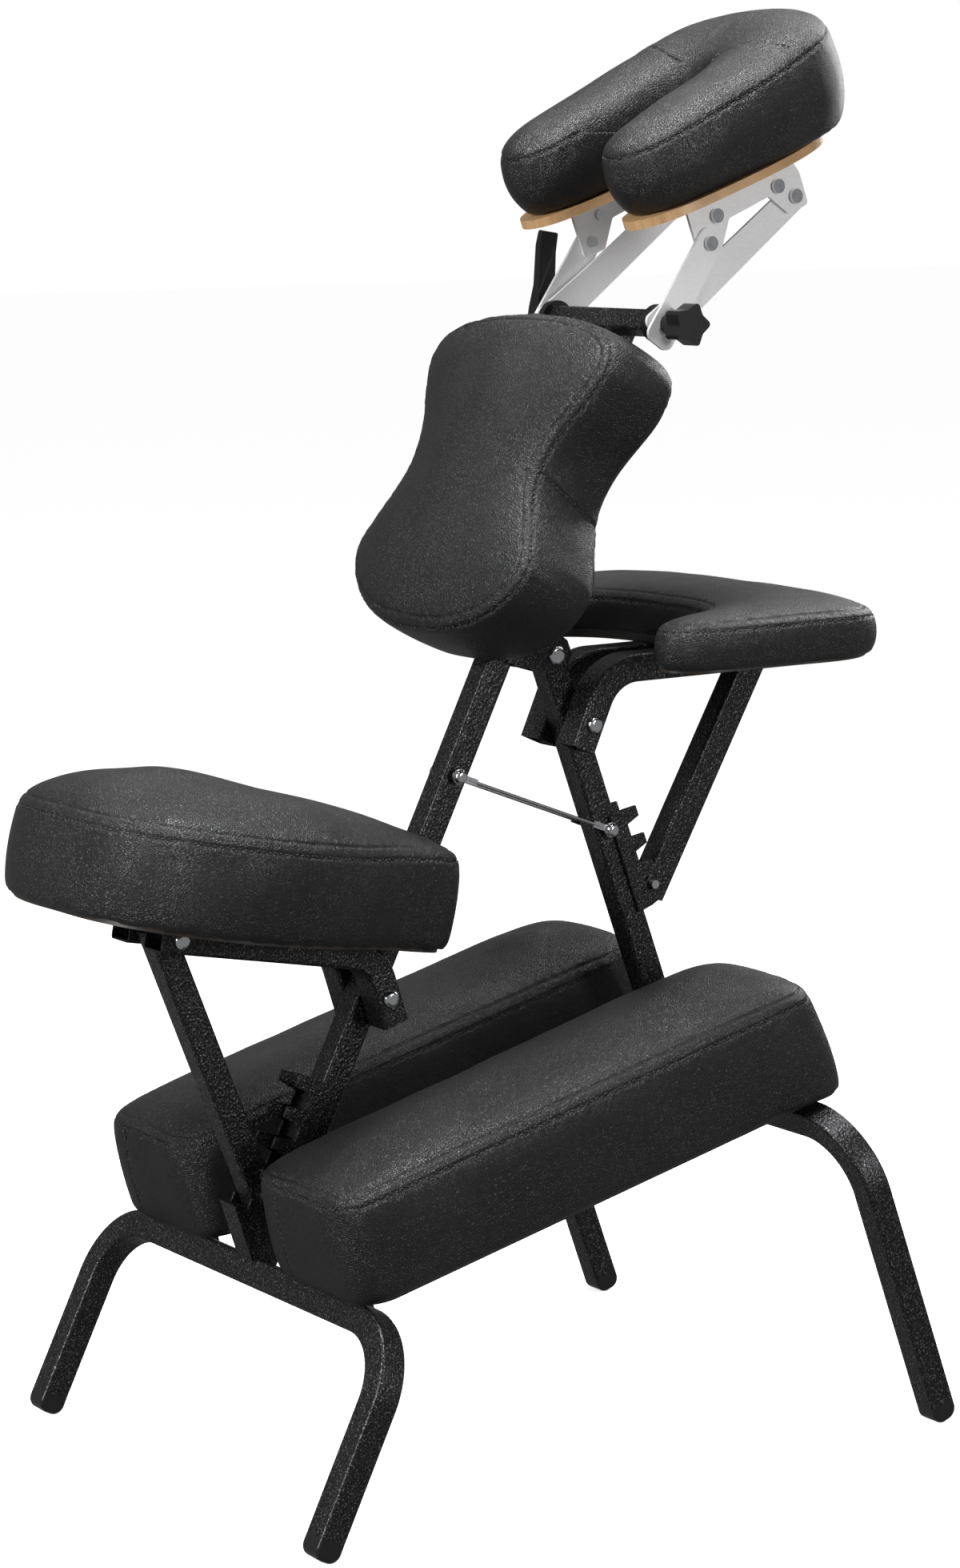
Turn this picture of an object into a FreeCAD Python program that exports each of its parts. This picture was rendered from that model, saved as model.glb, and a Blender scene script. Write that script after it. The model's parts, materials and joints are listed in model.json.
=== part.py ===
"""Kneeling massage chair: every sub-part is built here and written as its own STEP file."""
import FreeCAD, Part
import math
import os
import re
import Sketcher

os.makedirs("parts", exist_ok=True)
doc = FreeCAD.newDocument("massage_chair")
Vec = FreeCAD.Vector
Rule = Sketcher.Constraint

# Driving sizes, in mm and degrees. X points the way the user faces, Y to the user's left.
SIZES = {
    # square frame tube
    "tube": 25, "tube_wall": 1.5, "tube_corner": 3, "bend_size": 60,
    # rear leg frame with the main post
    "rear_x": -200, "rear_z": 173, "rear_lean": 26.7, "rear_width": 477,
    "post_top": 850, "cable_along": 468, "cable_front": 261.7,
    # front leg frame with its post
    "front_lean": 19.6, "front_width": 516, "front_reach": 436,
    "hinge_along": 604.5, "hinge_ahead": 50.3, "hinge_pin": 10, "cheek": 3, "cheek_gap": 13,
    # feet
    "cap_height": 18, "cap_round": 10, "cap_flat": 0.3, "plug_depth": 15,
    # racks
    "seat_pitch": 28.5, "arm_pitch": 27.5, "tooth_tip": 10, "tooth_root": 15, "notch_floor": 20,
    "seat_rack_low": 53.5, "seat_rack_depth": 40, "arm_rack_low": 182.5, "arm_rack_depth": 34,
    # stop behind the main post
    "stop_low": 6.9, "stop_back": 53, "stop_top": 47.9,
    # bolts and pins
    "bolt": 8, "slip": 0.1, "head_size": 15, "head_height": 5, "cable_bolt": 6, "pin": 8,
    # seat
    "seat_tilt": 11.3, "seat_along": 262.6, "bracket_width": 30, "bracket_depth": 25,
    "seat_run": 35, "seat_run_end": 236, "seat_leg_x": 12, "seat_leg_z": 22, "seat_bend": 38,
    "seat_strut_x": 217.9, "seat_board": 10, "seat_base": 47.6, "seat_top": 166, "seat_crown": 10,
    "seat_pin_along": 64.7, "seat_pin_behind": 27,
    # armrest
    "arm_along": 370.4, "arm_run": 47, "arm_run_end": 228, "arm_leg_x": 10, "arm_leg_z": 22,
    "arm_bend": 45, "arm_strut_x": 212, "arm_board": 8, "arm_base": 59.6, "arm_top": 115,
    "arm_crown": 18, "arm_pin_along": 193.2, "arm_pin_ahead": 27,
    "arm_strut_depth": 28, "arm_strut_shift": 8,
    # knee pads
    "knee_slope": 12.9, "knee_rise": 16.6, "knee_board": 10, "knee_top": 118, "knee_start": -12,
    "knee_end": 500, "knee_width": 158, "knee_centre": 129, "knee_corner": 30, "knee_crown": 24,
    "saddle_bore": 16.8, "saddle_near": 8, "saddle_far": 28, "saddle_drop": 20, "saddle_width": 40,
    # chest pad
    "chest_along": 700, "chest_back": 15, "chest_board": 8, "chest_front": 112, "chest_crown": 22,
    "sleeve": 31, "sleeve_low": 690, "sleeve_length": 50,
    "lever_lean": 9, "screw": 3, "screw_hole": 3.05, "screw_head": 6.4, "screw_nut": 4.9, "rail_screw_z": 19.5,
    # head post and crossbar
    "head_tube": 20, "head_wall": 2, "head_low": 712, "head_top": 912, "head_knob_along": 828,
    "bar_along": 899, "bar_behind": 19.5, "bar_size": 20, "bar_half": 75,
    "collar_size": 34, "collar_length": 7.4, "stud": 8, "lever_y": 102.5, "lever_pin": 4,
    # face cradle
    "cradle_slope": 20, "cradle_x": 233, "cradle_z": 1054, "plate": 3, "arm_out": 89.3,
    "rail_out": 86, "arm_in": 82.7, "ply": 8, "ply_base": 38, "cushion_base": 46.1,
    "cushion_tip": 118, "cushion_front": 150, "cushion_crown": 18, "rear_pivot_x": 106,
    "rear_pivot_z": 4, "knob_size": 21, "knob_thick": 18, "knob_reach": 128,
}

sheet = doc.addObject("Spreadsheet::Sheet", "Sizes")
for row, (alias, size) in enumerate(SIZES.items(), 1):
    sheet.set(f"A{row}", alias)
    sheet.set(f"B{row}", str(size))
    sheet.setAlias(f"B{row}", alias)
doc.recompute()

ORIGIN = -1
END = 2
START = 1
CENTRE = 3


def formula(text):
    """Point every known size in a formula at the sheet."""
    return re.sub(r"[a-z_]+[a-z]",
                  lambda found: f"Sizes.{found.group()}" if found.group() in SIZES else found.group(), str(text))


def size_of(text):
    """Work a formula out as a plain number."""
    result = sheet.evalExpression(formula(text))
    return float(getattr(result, "Value", result))


def bind(item, prop, text):
    """Drive one property of an object by a formula."""
    item.setExpression(prop, formula(text))


def new_body(name):
    return doc.addObject("PartDesign::Body", name)


def new_sketch(body, role, lift="0"):
    """Start a sketch on one of the body's own origin planes, lifted along its normal."""
    sketch = body.newObject("Sketcher::SketchObject", f"{body.Name}_sketch")
    support = next(item for item in body.Origin.OriginFeatures if item.Role == role)
    sketch.AttachmentSupport = [(support, "")]
    sketch.MapMode = "FlatFace"
    if lift != "0":
        sketch.AttachmentOffset = FreeCAD.Placement(Vec(0, 0, size_of(lift)), FreeCAD.Rotation())
        bind(sketch, ".AttachmentOffset.Base.z", lift)
    return sketch


def rule(sketch, constraint, text=None):
    """Add a constraint and drive it by a formula where one is given."""
    index = sketch.addConstraint(constraint)
    if text is not None:
        sketch.setExpression(f"Constraints[{index}]", formula(text))


def place_point(sketch, piece, end, x_text, y_text):
    rule(sketch, Rule("DistanceX", piece, end, size_of(x_text)), x_text)
    rule(sketch, Rule("DistanceY", piece, end, size_of(y_text)), y_text)


def draw_polygon(sketch, corners):
    """Draw a closed polygon whose corners are pairs of formulas."""
    first = sketch.GeometryCount
    spots = [Vec(size_of(x), size_of(y), 0) for x, y in corners]
    count = len(spots)
    sides = [Part.LineSegment(spots[k], spots[(k + 1) % count]) for k in range(count)]
    sketch.addGeometry(sides, False)
    for k in range(count):
        sketch.addConstraint(Rule("Coincident", first + k, END, first + (k + 1) % count, START))
    for k, (x_text, y_text) in enumerate(corners):
        place_point(sketch, first + k, START, x_text, y_text)


def draw_box(sketch, x_low, x_high, y_low, y_high):
    draw_polygon(sketch, [(x_low, y_low), (x_high, y_low), (x_high, y_high), (x_low, y_high)])


def draw_square(sketch, width, x_mid="0", y_mid="0"):
    half = f"({width}) / 2"
    draw_box(sketch, f"{x_mid} - {half}", f"{x_mid} + {half}", f"{y_mid} - {half}", f"{y_mid} + {half}")


def draw_rounded(sketch, x_low, x_high, y_low, y_high, corner):
    """Draw a rectangle with rounded corners."""
    first = sketch.GeometryCount
    radius, quarter = size_of(corner), math.pi / 2
    left, right = size_of(x_low) + radius, size_of(x_high) - radius
    down, top = size_of(y_low) + radius, size_of(y_high) - radius
    middles = [Vec(right, top, 0), Vec(left, top, 0), Vec(left, down, 0), Vec(right, down, 0)]
    for k, middle in enumerate(middles):
        arc = Part.Circle(middle, Vec(0, 0, 1), radius)
        sketch.addGeometry(Part.ArcOfCircle(arc, k * quarter, (k + 1) * quarter), False)
    for k, middle in enumerate(middles):
        reach = Vec(radius * math.cos((k + 1) * quarter), radius * math.sin((k + 1) * quarter), 0)
        sketch.addGeometry(Part.LineSegment(middle + reach, middles[(k + 1) % 4] + reach), False)
    for k in range(4):
        line = first + 4 + k
        rule(sketch, Rule("Tangent", first + k, END, line, START))
        rule(sketch, Rule("Tangent", line, END, first + (k + 1) % 4, START))
        rule(sketch, Rule("Vertical" if k % 2 else "Horizontal", line))
    for k in range(1, 4):
        rule(sketch, Rule("Equal", first, first + k))
    rule(sketch, Rule("Radius", first, radius), corner)
    for k, (way, text) in enumerate((("Y", y_high), ("X", x_low), ("Y", y_low), ("X", x_high))):
        rule(sketch, Rule(f"Distance{way}", first + 4 + k, START, size_of(text)), text)


def draw_circle(sketch, radius, x_mid="0", y_mid="0"):
    piece = sketch.GeometryCount
    middle = Vec(size_of(x_mid), size_of(y_mid), 0)
    sketch.addGeometry(Part.Circle(middle, Vec(0, 0, 1), size_of(radius)), False)
    place_point(sketch, piece, CENTRE, x_mid, y_mid)
    rule(sketch, Rule("Radius", piece, size_of(radius)), radius)


def draw_curve(sketch, spots):
    """Draw a closed smooth outline through half of its points, mirrored about the first axis."""
    half = [Vec(x, y, 0) for x, y in spots]
    mirrored = [Vec(x, -y, 0) for x, y in reversed(spots) if y > 0]
    curve = Part.BSplineCurve()
    curve.interpolate(Points=half + mirrored, PeriodicFlag=True)
    sketch.addGeometry(curve, False)


def add_pad(body, sketch, length, both_ways=False, backwards=False):
    pad = body.newObject("PartDesign::Pad", f"{body.Name}_pad")
    pad.Profile = sketch
    pad.Length = size_of(length)
    bind(pad, "Length", length)
    if both_ways:
        pad.SideType = "Symmetric"
    pad.Reversed = backwards
    return pad


def cut_through(body, sketch):
    pocket = body.newObject("PartDesign::Pocket", f"{body.Name}_pocket")
    pocket.Profile = sketch
    pocket.Type = "ThroughAll"
    pocket.SideType = "Symmetric"
    return pocket


def cut_depth(body, sketch, depth, backwards=False):
    pocket = body.newObject("PartDesign::Pocket", f"{body.Name}_pocket")
    pocket.Profile = sketch
    pocket.Length = size_of(depth)
    bind(pocket, "Length", depth)
    pocket.Reversed = backwards
    return pocket


def drill(body, role, radius, *spots):
    """Drill holes right through a body, square to one of its planes."""
    sketch = new_sketch(body, role)
    for x_text, y_text in spots:
        draw_circle(sketch, radius, x_text, y_text)
    cut_through(body, sketch)


def round_edges(body, radius, wanted):
    """Fillet the edges of a body that pass a test."""
    doc.recompute()
    shape = body.Tip.Shape
    names = [f"Edge{k}" for k, edge in enumerate(shape.Edges, 1) if wanted(edge)]
    base = body.Tip
    fillet = body.newObject("PartDesign::Fillet", f"{body.Name}_fillet")
    fillet.Base = (base, names)
    fillet.Radius = size_of(radius)
    bind(fillet, "Radius", radius)
    doc.recompute()
    return fillet


def runs_along(axis):
    """Pick straight edges that run along one axis: 0 for X, 1 for Y, 2 for Z."""
    def test(edge):
        ends = [vertex.Point for vertex in edge.Vertexes]
        if len(ends) < 2:
            return False
        step = ends[1] - ends[0]
        others = [abs(step[k]) for k in range(3) if k != axis]
        return max(others) < 0.01 < abs(step[axis])
    return test


def lies_at(axis, text):
    """Pick edges that lie in a plane square to one axis."""
    level = size_of(text)

    def test(edge):
        box = edge.BoundBox
        low = (box.XMin, box.YMin, box.ZMin)[axis]
        high = (box.XMax, box.YMax, box.ZMax)[axis]
        return abs(low - level) < 0.01 and abs(high - level) < 0.01
    return test


def frame_at(x, z, turn, y=0.0):
    """A placement turned about Y; local X is ahead and local Z is up."""
    return FreeCAD.Placement(Vec(x, y, z), FreeCAD.Rotation(Vec(0, 1, 0), turn))


def beyond(frame, x, z, turn, y=0.0):
    """A placement given inside another frame, with its own turn in the world."""
    spot = frame.multVec(Vec(x, y, z))
    return frame_at(spot.x, spot.z, turn, spot.y)


def turn_of(frame):
    """The turn about Y of a placement, in degrees."""
    ahead = frame.Rotation.multVec(Vec(0, 0, 1))
    return math.degrees(math.atan2(ahead.x, ahead.z))


NODES = {}


def keep(name, item, placement):
    """Give a finished sub-part its label and its place."""
    item.Label = name
    item.Placement = placement
    NODES[name] = item


rear_lean = size_of("rear_lean")
front_turn = -size_of("front_lean")
REAR = frame_at(size_of("rear_x"), size_of("rear_z"), rear_lean)
hinge = REAR.multVec(Vec(size_of("hinge_ahead"), 0, size_of("hinge_along")))
front_up = FreeCAD.Rotation(Vec(0, 1, 0), front_turn).multVec(Vec(0, 0, 1))
front_base = hinge - front_up * size_of("front_reach")
FRONT = frame_at(front_base.x, front_base.z, front_turn)
SEAT = beyond(REAR, 0, size_of("seat_along"), size_of("seat_tilt"))
ARM = beyond(FRONT, 0, size_of("arm_along"), 0)
KNEE = frame_at(size_of("rear_x"), size_of("rear_z"), -size_of("knee_slope"))
CRADLE = frame_at(size_of("cradle_x"), size_of("cradle_z"), -size_of("cradle_slope"))
BAR = beyond(REAR, -size_of("bar_behind"), size_of("bar_along"), 0)


def turn_towards(start, end):
    """The turn about Y that points local Z from one spot to another."""
    return math.degrees(math.atan2(end.x - start.x, end.z - start.z))


# ---- bent and straight square tubes ----

def leg_length(lean, height):
    """How far down a leg its rounded cap touches the floor."""
    slope = math.radians(lean)
    cap_round = size_of("cap_round")
    side = (size_of("tube") / 2 - cap_round) * math.sin(slope)
    return (height + size_of("cap_flat") - cap_round - side) / math.cos(slope) + cap_round


def draw_tube_section(sketch, wide, deep, wall, x_mid="0", y_mid="0"):
    """Draw a hollow box section with rounded outer corners."""
    half_x, half_y = f"({wide}) / 2", f"({deep}) / 2"
    draw_rounded(sketch, f"{x_mid} - {half_x}", f"{x_mid} + {half_x}", f"{y_mid} - {half_y}",
                 f"{y_mid} + {half_y}", "tube_corner")
    draw_box(sketch, f"{x_mid} - {half_x} + {wall}", f"{x_mid} + {half_x} - {wall}",
             f"{y_mid} - {half_y} + {wall}", f"{y_mid} + {half_y} - {wall}")


def sweep_tube(body, path, path_edges, start_x, start_y, wide, deep, plane="XY_Plane", lift="0"):
    """Sweep a hollow box section along a path."""
    section = new_sketch(body, plane, lift)
    draw_tube_section(section, wide, deep, "tube_wall", start_x, start_y)
    pipe = body.newObject("PartDesign::AdditivePipe", f"{body.Name}_pipe")
    pipe.Profile = section
    pipe.Spine = (path, path_edges)
    return pipe


def leg_frame(name, width, leg, placement):
    """A U of square tube: a cross tube with a leg bent down at each end."""
    body = new_body(name)
    path = new_sketch(body, "YZ_Plane")
    half, bend, down = size_of(width) / 2, size_of("bend_size"), leg
    right, left = Vec(half - bend, -bend, 0), Vec(bend - half, -bend, 0)
    path.addGeometry([
        Part.LineSegment(Vec(-half, -down, 0), Vec(-half, -bend, 0)),
        Part.ArcOfCircle(Part.Circle(left, Vec(0, 0, 1), bend), math.pi / 2, math.pi),
        Part.LineSegment(Vec(bend - half, 0, 0), Vec(half - bend, 0, 0)),
        Part.ArcOfCircle(Part.Circle(right, Vec(0, 0, 1), bend), 0, math.pi / 2),
        Part.LineSegment(Vec(half, -bend, 0), Vec(half, -down, 0)),
    ], False)
    for a, a_end, b, b_end in ((0, END, 1, END), (1, START, 2, START), (2, END, 3, END), (3, START, 4, START)):
        rule(path, Rule("Tangent", a, a_end, b, b_end))
    rule(path, Rule("Vertical", 0))
    rule(path, Rule("Vertical", 4))
    rule(path, Rule("Horizontal", 2))
    rule(path, Rule("PointOnObject", 2, START, -1))
    rule(path, Rule("Symmetric", 0, START, 4, END, -2))
    rule(path, Rule("Equal", 1, 3))
    rule(path, Rule("Radius", 1, bend), "bend_size")
    rule(path, Rule("DistanceX", 0, START, 4, END, 2 * half), width)
    rule(path, Rule("DistanceY", 0, START, -down))
    edges = [f"Edge{k}" for k in range(1, 6)]
    sweep_tube(body, path, edges, "0", f"-({width}) / 2", "tube", "tube", "XY_Plane", str(-down))
    keep(name, body, placement)
    return body


def straight_tube(name, width, depth, wall, low, high, placement, shift="0"):
    """A straight box tube along local Z, with rounded outer corners."""
    body = new_body(name)
    section = new_sketch(body, "XY_Plane", low)
    draw_tube_section(section, depth, width, wall, shift)
    add_pad(body, section, f"({high}) - ({low})")
    keep(name, body, placement)
    return body


rear_leg = leg_length(rear_lean, REAR.Base.z)
front_leg = leg_length(-front_turn, FRONT.Base.z)
cap_height = size_of("cap_height")
leg_frame("rear_leg_tube", "rear_width", rear_leg - cap_height, REAR)
leg_frame("front_leg_tube", "front_width", front_leg - cap_height, FRONT)


def foot_cap(name, frame, side, width, leg):
    """A rounded plastic cap with a plug that fits inside the leg."""
    body = new_body(name)
    outline = new_sketch(body, "XY_Plane")
    draw_square(outline, "tube")
    add_pad(body, outline, "cap_height", backwards=True)
    low, across = lies_at(2, "-cap_height"), runs_along(1)
    round_edges(body, "cap_round", lambda edge: low(edge) and across(edge))
    round_edges(body, "tube_corner", lambda edge: edge.BoundBox.ZMin < -0.1 and edge.BoundBox.YLength < 0.01)
    plug = new_sketch(body, "XY_Plane")
    draw_square(plug, "tube - 2 * tube_wall - 2 * slip")
    add_pad(body, plug, "plug_depth")
    placement = beyond(frame, 0, -(leg - cap_height), turn_of(frame), side * size_of(width) / 2)
    slope, floor = math.radians(turn_of(frame)), new_sketch(body, "XZ_Plane")
    levels = [(x * math.sin(slope) - placement.Base.z) / math.cos(slope) for x in (-30, 30)]
    draw_polygon(floor, [("-30", str(levels[0])), ("30", str(levels[1])), ("30", str(levels[1] - 20)),
                         ("-30", str(levels[0] - 20))])
    cut_through(body, floor)
    keep(name, body, placement)


for side, tag in ((1, "l"), (-1, "r")):
    foot_cap(f"rear_foot_cap_{tag}", REAR, side, "rear_width", rear_leg)
    foot_cap(f"front_foot_cap_{tag}", FRONT, side, "front_width", front_leg)

main_post = straight_tube("main_post", "tube", "tube", "tube_wall", "tube / 2", "post_top", REAR)
drill(main_post, "XZ_Plane", "bolt / 2 + slip / 2", ("0", "seat_along"))
drill(main_post, "XZ_Plane", "cable_bolt / 2 + slip / 2", ("0", "cable_along"))
front_post = straight_tube("front_post", "tube", "tube", "tube_wall", "tube / 2",
                           "front_reach + tube / 2", FRONT)
drill(front_post, "XZ_Plane", "hinge_pin / 2 + slip / 2", ("0", "front_reach"))
drill(front_post, "XZ_Plane", "bolt / 2 + slip / 2", ("0", "arm_along"))
drill(front_post, "XZ_Plane", "cable_bolt / 2 + slip / 2", ("0", "cable_front"))

# ---- stop behind the main post, mitred against the post and the cross tube ----
stop = new_body("strut_stop")
outline = new_sketch(stop, "XZ_Plane")
post_back = "-tube / 2 - 0.05"
draw_polygon(outline, [(post_back, "stop_low"), (post_back, "stop_top - 5.9"), ("-stop_back + 30.4", "stop_top + 4.3"),
                       ("-stop_back", "stop_top")])
add_pad(stop, outline, "tube", both_ways=True)
keep("strut_stop", stop, REAR)

# ---- toothed racks ----

def rack(name, low, depth, pitch, side, teeth, web_low, frame):
    """Two toothed cheeks that straddle a post, joined by a web on its face."""
    body = new_body(name)
    profile = new_sketch(body, "XZ_Plane")
    sign = "" if side > 0 else "-"
    corners = [(f"{sign}4", f"{low} - tooth_root / 2"), ]
    for k in range(teeth):
        level = f"{low} + {k} * {pitch}"
        corners.append((f"{sign}notch_floor", f"{level} - tooth_root / 2"))
        corners.append((f"{sign}{depth}", f"{level} - tooth_tip / 2"))
        corners.append((f"{sign}{depth}", f"{level} + tooth_tip / 2"))
        corners.append((f"{sign}notch_floor", f"{level} + tooth_root / 2"))
    corners.append((f"{sign}4", f"{low} + {teeth - 1} * {pitch} + tooth_root / 2"))
    draw_polygon(profile, corners)
    add_pad(body, profile, "2 * cheek_gap + 2 * cheek", both_ways=True)
    gap = new_sketch(body, "XY_Plane")
    low_x, high_x = sorted((size_of(f"{sign}2"), size_of(f"{sign}(({depth}) + 2)")))
    draw_box(gap, str(low_x), str(high_x), "-cheek_gap", "cheek_gap")
    cut_through(body, gap)
    web = new_sketch(body, "XY_Plane", web_low)
    face = f"{sign}tube / 2"
    draw_polygon(web, [(face, "-cheek_gap - 0.5"), (f"{sign}(tube / 2 + cheek)", "-cheek_gap - 0.5"),
                       (f"{sign}(tube / 2 + cheek)", "cheek_gap + 0.5"), (face, "cheek_gap + 0.5")])
    add_pad(body, web, f"{low} + {teeth - 1} * {pitch} + tooth_root / 2 - ({web_low})")
    keep(name, body, frame)
    return body


rack("seat_rack", "seat_rack_low", "seat_rack_depth", "seat_pitch", -1, 5, "120", REAR)
rack("arm_rack", "arm_rack_low", "arm_rack_depth", "arm_pitch", 1, 4, "225", FRONT)

# ---- clevis on the main post that carries the front leg frame ----
clevis = new_body("hinge_bracket")
profile = new_sketch(clevis, "XZ_Plane")
draw_polygon(profile, [("4", "hinge_along - 26"), ("4", "hinge_along + 26"), ("hinge_ahead + 6", "hinge_along + 17"),
                       ("hinge_ahead + 16", "hinge_along + 8"), ("hinge_ahead + 16", "hinge_along - 8"),
                       ("hinge_ahead + 6", "hinge_along - 17")])
add_pad(clevis, profile, "2 * cheek_gap + 2 * cheek", both_ways=True)
gap = new_sketch(clevis, "XY_Plane")
draw_box(gap, "2", "hinge_ahead + 20", "-cheek_gap", "cheek_gap")
cut_through(clevis, gap)
web = new_sketch(clevis, "XY_Plane", "hinge_along - 26")
draw_box(web, "tube / 2", "tube / 2 + cheek", "-cheek_gap - 0.5", "cheek_gap + 0.5")
add_pad(clevis, web, "52")
drill(clevis, "XZ_Plane", "hinge_pin / 2 + slip / 2", ("hinge_ahead", "hinge_along"))
keep("hinge_bracket", clevis, REAR)

# ---- bolts and pins across the chair ----

def cross_bolt(name, size, half, frame, x, z, headed=True):
    """A shaft across the chair with a domed head at one end and a nut at the other."""
    body = new_body(name)
    round_part = new_sketch(body, "XZ_Plane")
    draw_circle(round_part, f"({size}) / 2")
    add_pad(body, round_part, f"2 * ({half})", both_ways=True)
    if headed:
        for lift in (half, f"-({half}) - head_height"):
            head = new_sketch(body, "XZ_Plane", lift)
            draw_circle(head, f"head_size / 2 * (0.4 + 0.075 * ({size}))")
            add_pad(body, head, "head_height")
        far = size_of(f"{half} + head_height")
        ends = (lies_at(1, str(far)), lies_at(1, str(-far)))
        round_edges(body, "head_height - 1.2", lambda edge: ends[0](edge) or ends[1](edge))
    keep(name, body, beyond(frame, x, z, turn_of(frame)))
    return body


cheek_out = "cheek_gap + cheek + 0.2"
bracket_out = "cheek_gap + bracket_width + 0.2"
cross_bolt("hinge_bolt", "hinge_pin", cheek_out, REAR, size_of("hinge_ahead"), size_of("hinge_along"))
cross_bolt("seat_pivot_bolt", "bolt", bracket_out, REAR, 0, size_of("seat_along"))
cross_bolt("arm_pivot_bolt", "bolt", bracket_out, FRONT, 0, size_of("arm_along"))
cross_bolt("rear_cable_bolt", "cable_bolt", "18.6", REAR, 0, size_of("cable_along"))
cross_bolt("front_cable_bolt", "cable_bolt", "18.6", FRONT, 0, size_of("cable_front"))

# ---- steel limit cables with an eye at each end ----
cable_rear = REAR.multVec(Vec(0, 0, size_of("cable_along")))
cable_front = FRONT.multVec(Vec(0, 0, size_of("cable_front")))
cable_turn = turn_towards(cable_rear, cable_front)
cable_span = (cable_front - cable_rear).Length


def limit_cable(name, side):
    """A twisted cable with a crimped eye round the bolt at each end."""
    body = new_body(name)
    eyes = new_sketch(body, "XZ_Plane")
    for level in ("0", str(cable_span)):
        draw_circle(eyes, "7", "0", level)
    add_pad(body, eyes, "2.4", both_ways=True)
    crimps = new_sketch(body, "XZ_Plane")
    draw_box(crimps, "-3", "3", "5", "20")
    draw_box(crimps, "-3", "3", str(cable_span - 20), str(cable_span - 5))
    add_pad(body, crimps, "2.4", both_ways=True)
    wire = new_sketch(body, "XY_Plane", "10")
    draw_circle(wire, "1.4")
    add_pad(body, wire, str(cable_span - 20))
    drill(body, "XZ_Plane", "cable_bolt / 2 + 0.3", ("0", "0"), ("0", str(cable_span)))
    keep(name, body, frame_at(cable_rear.x, cable_rear.z, cable_turn, side * 17.3))


limit_cable("limit_cable_l", 1)
limit_cable("limit_cable_r", -1)

# ---- bent brackets that carry the seat and the armrest ----

def bent_bracket(name, side, direction, run, run_end, leg_x, leg_z, bend, strut_x, frame):
    """A box tube that runs under a cushion and bends down past its pivot bolt."""
    body = new_body(name)
    path = new_sketch(body, "XZ_Plane")
    rise, out = size_of(run), direction * size_of(run_end)
    foot = Vec(-direction * size_of(leg_x), -size_of(leg_z), 0)
    slope = foot.x / foot.y
    corner = Vec(slope * rise, rise, 0)
    leg_way = (foot - corner).normalize()
    run_way = Vec(direction, 0, 0)
    opening = math.acos(run_way.dot(leg_way))
    radius = size_of(bend)
    reach = radius / math.tan(opening / 2)
    start_arc, end_arc = corner + run_way * reach, corner + leg_way * reach
    middle = corner + (run_way + leg_way).normalize() * (radius / math.sin(opening / 2))
    begin, finish = ((spot - middle) for spot in (start_arc, end_arc))
    angles = [math.atan2(spot.y, spot.x) for spot in (begin, finish)]
    turned = (angles[1] - angles[0]) % (2 * math.pi) > math.pi
    near, far = (END, START) if turned else (START, END)
    if turned:
        angles.reverse()
    path.addGeometry([
        Part.LineSegment(Vec(out, rise, 0), start_arc),
        Part.ArcOfCircle(Part.Circle(middle, Vec(0, 0, 1), radius), angles[0], angles[1]),
        Part.LineSegment(end_arc, foot),
    ], False)
    rule(path, Rule("Tangent", 0, END, 1, near))
    rule(path, Rule("Tangent", 1, far, 2, START))
    rule(path, Rule("Horizontal", 0))
    rule(path, Rule("Radius", 1, radius), bend)
    place_point(path, 0, START, f"{direction} * {run_end}", run)
    place_point(path, 2, END, f"{-direction} * {leg_x}", f"-{leg_z}")
    rule(path, Rule("PointOnObject", ORIGIN, START, 2))
    sweep_tube(body, path, ["Edge1", "Edge2", "Edge3"], "0", run, "bracket_width", "bracket_depth",
               "YZ_Plane", f"{direction} * {run_end}")
    doc.recompute()
    drill(body, "XZ_Plane", "bolt / 2 + slip / 2", ("0", "0"), (f"{direction} * {strut_x}", run))
    keep(name, body, beyond(frame, 0, 0, turn_of(frame), side * size_of("cheek_gap + bracket_width / 2")))
    return body


for side, tag in ((1, "l"), (-1, "r")):
    bent_bracket(f"seat_bracket_{tag}", side, -1, "seat_run", "seat_run_end", "seat_leg_x", "seat_leg_z",
                 "seat_bend", "seat_strut_x", SEAT)
    bent_bracket(f"arm_bracket_{tag}", side, 1, "arm_run", "arm_run_end", "arm_leg_x", "arm_leg_z",
                 "arm_bend", "arm_strut_x", ARM)

cross_bolt("seat_strut_bolt", "bolt", bracket_out, SEAT, -size_of("seat_strut_x"), size_of("seat_run"))
cross_bolt("arm_strut_bolt", "bolt", bracket_out, ARM, size_of("arm_strut_x"), size_of("arm_run"))

# ---- struts with their cross pins ----
seat_strut_top = SEAT.multVec(Vec(-size_of("seat_strut_x"), 0, size_of("seat_run")))
seat_pin = REAR.multVec(Vec(-size_of("seat_pin_behind"), 0, size_of("seat_pin_along")))
arm_strut_top = ARM.multVec(Vec(size_of("arm_strut_x"), 0, size_of("arm_run")))
arm_pin = FRONT.multVec(Vec(size_of("arm_pin_ahead"), 0, size_of("arm_pin_along")))


def strut(name, pin_spot, top_spot, depth, shift, tail, top):
    """A square strut from its rack pin up to its bolt, turned so that both sit in it."""
    span = (top_spot - pin_spot).Length
    offset = size_of(shift)
    swing = math.degrees(math.asin(offset / span))
    length = span * math.cos(math.radians(swing))
    frame = frame_at(pin_spot.x, pin_spot.z, turn_towards(pin_spot, top_spot) - swing)
    body = straight_tube(name, "tube - 0.6", depth, "tube_wall", tail, f"{length} + {top}", frame, shift)
    drill(body, "XZ_Plane", "bolt / 2 + slip / 2", (shift, str(length)))
    drill(body, "XZ_Plane", "pin / 2 + slip / 2", ("0", "0"))
    return frame


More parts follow.
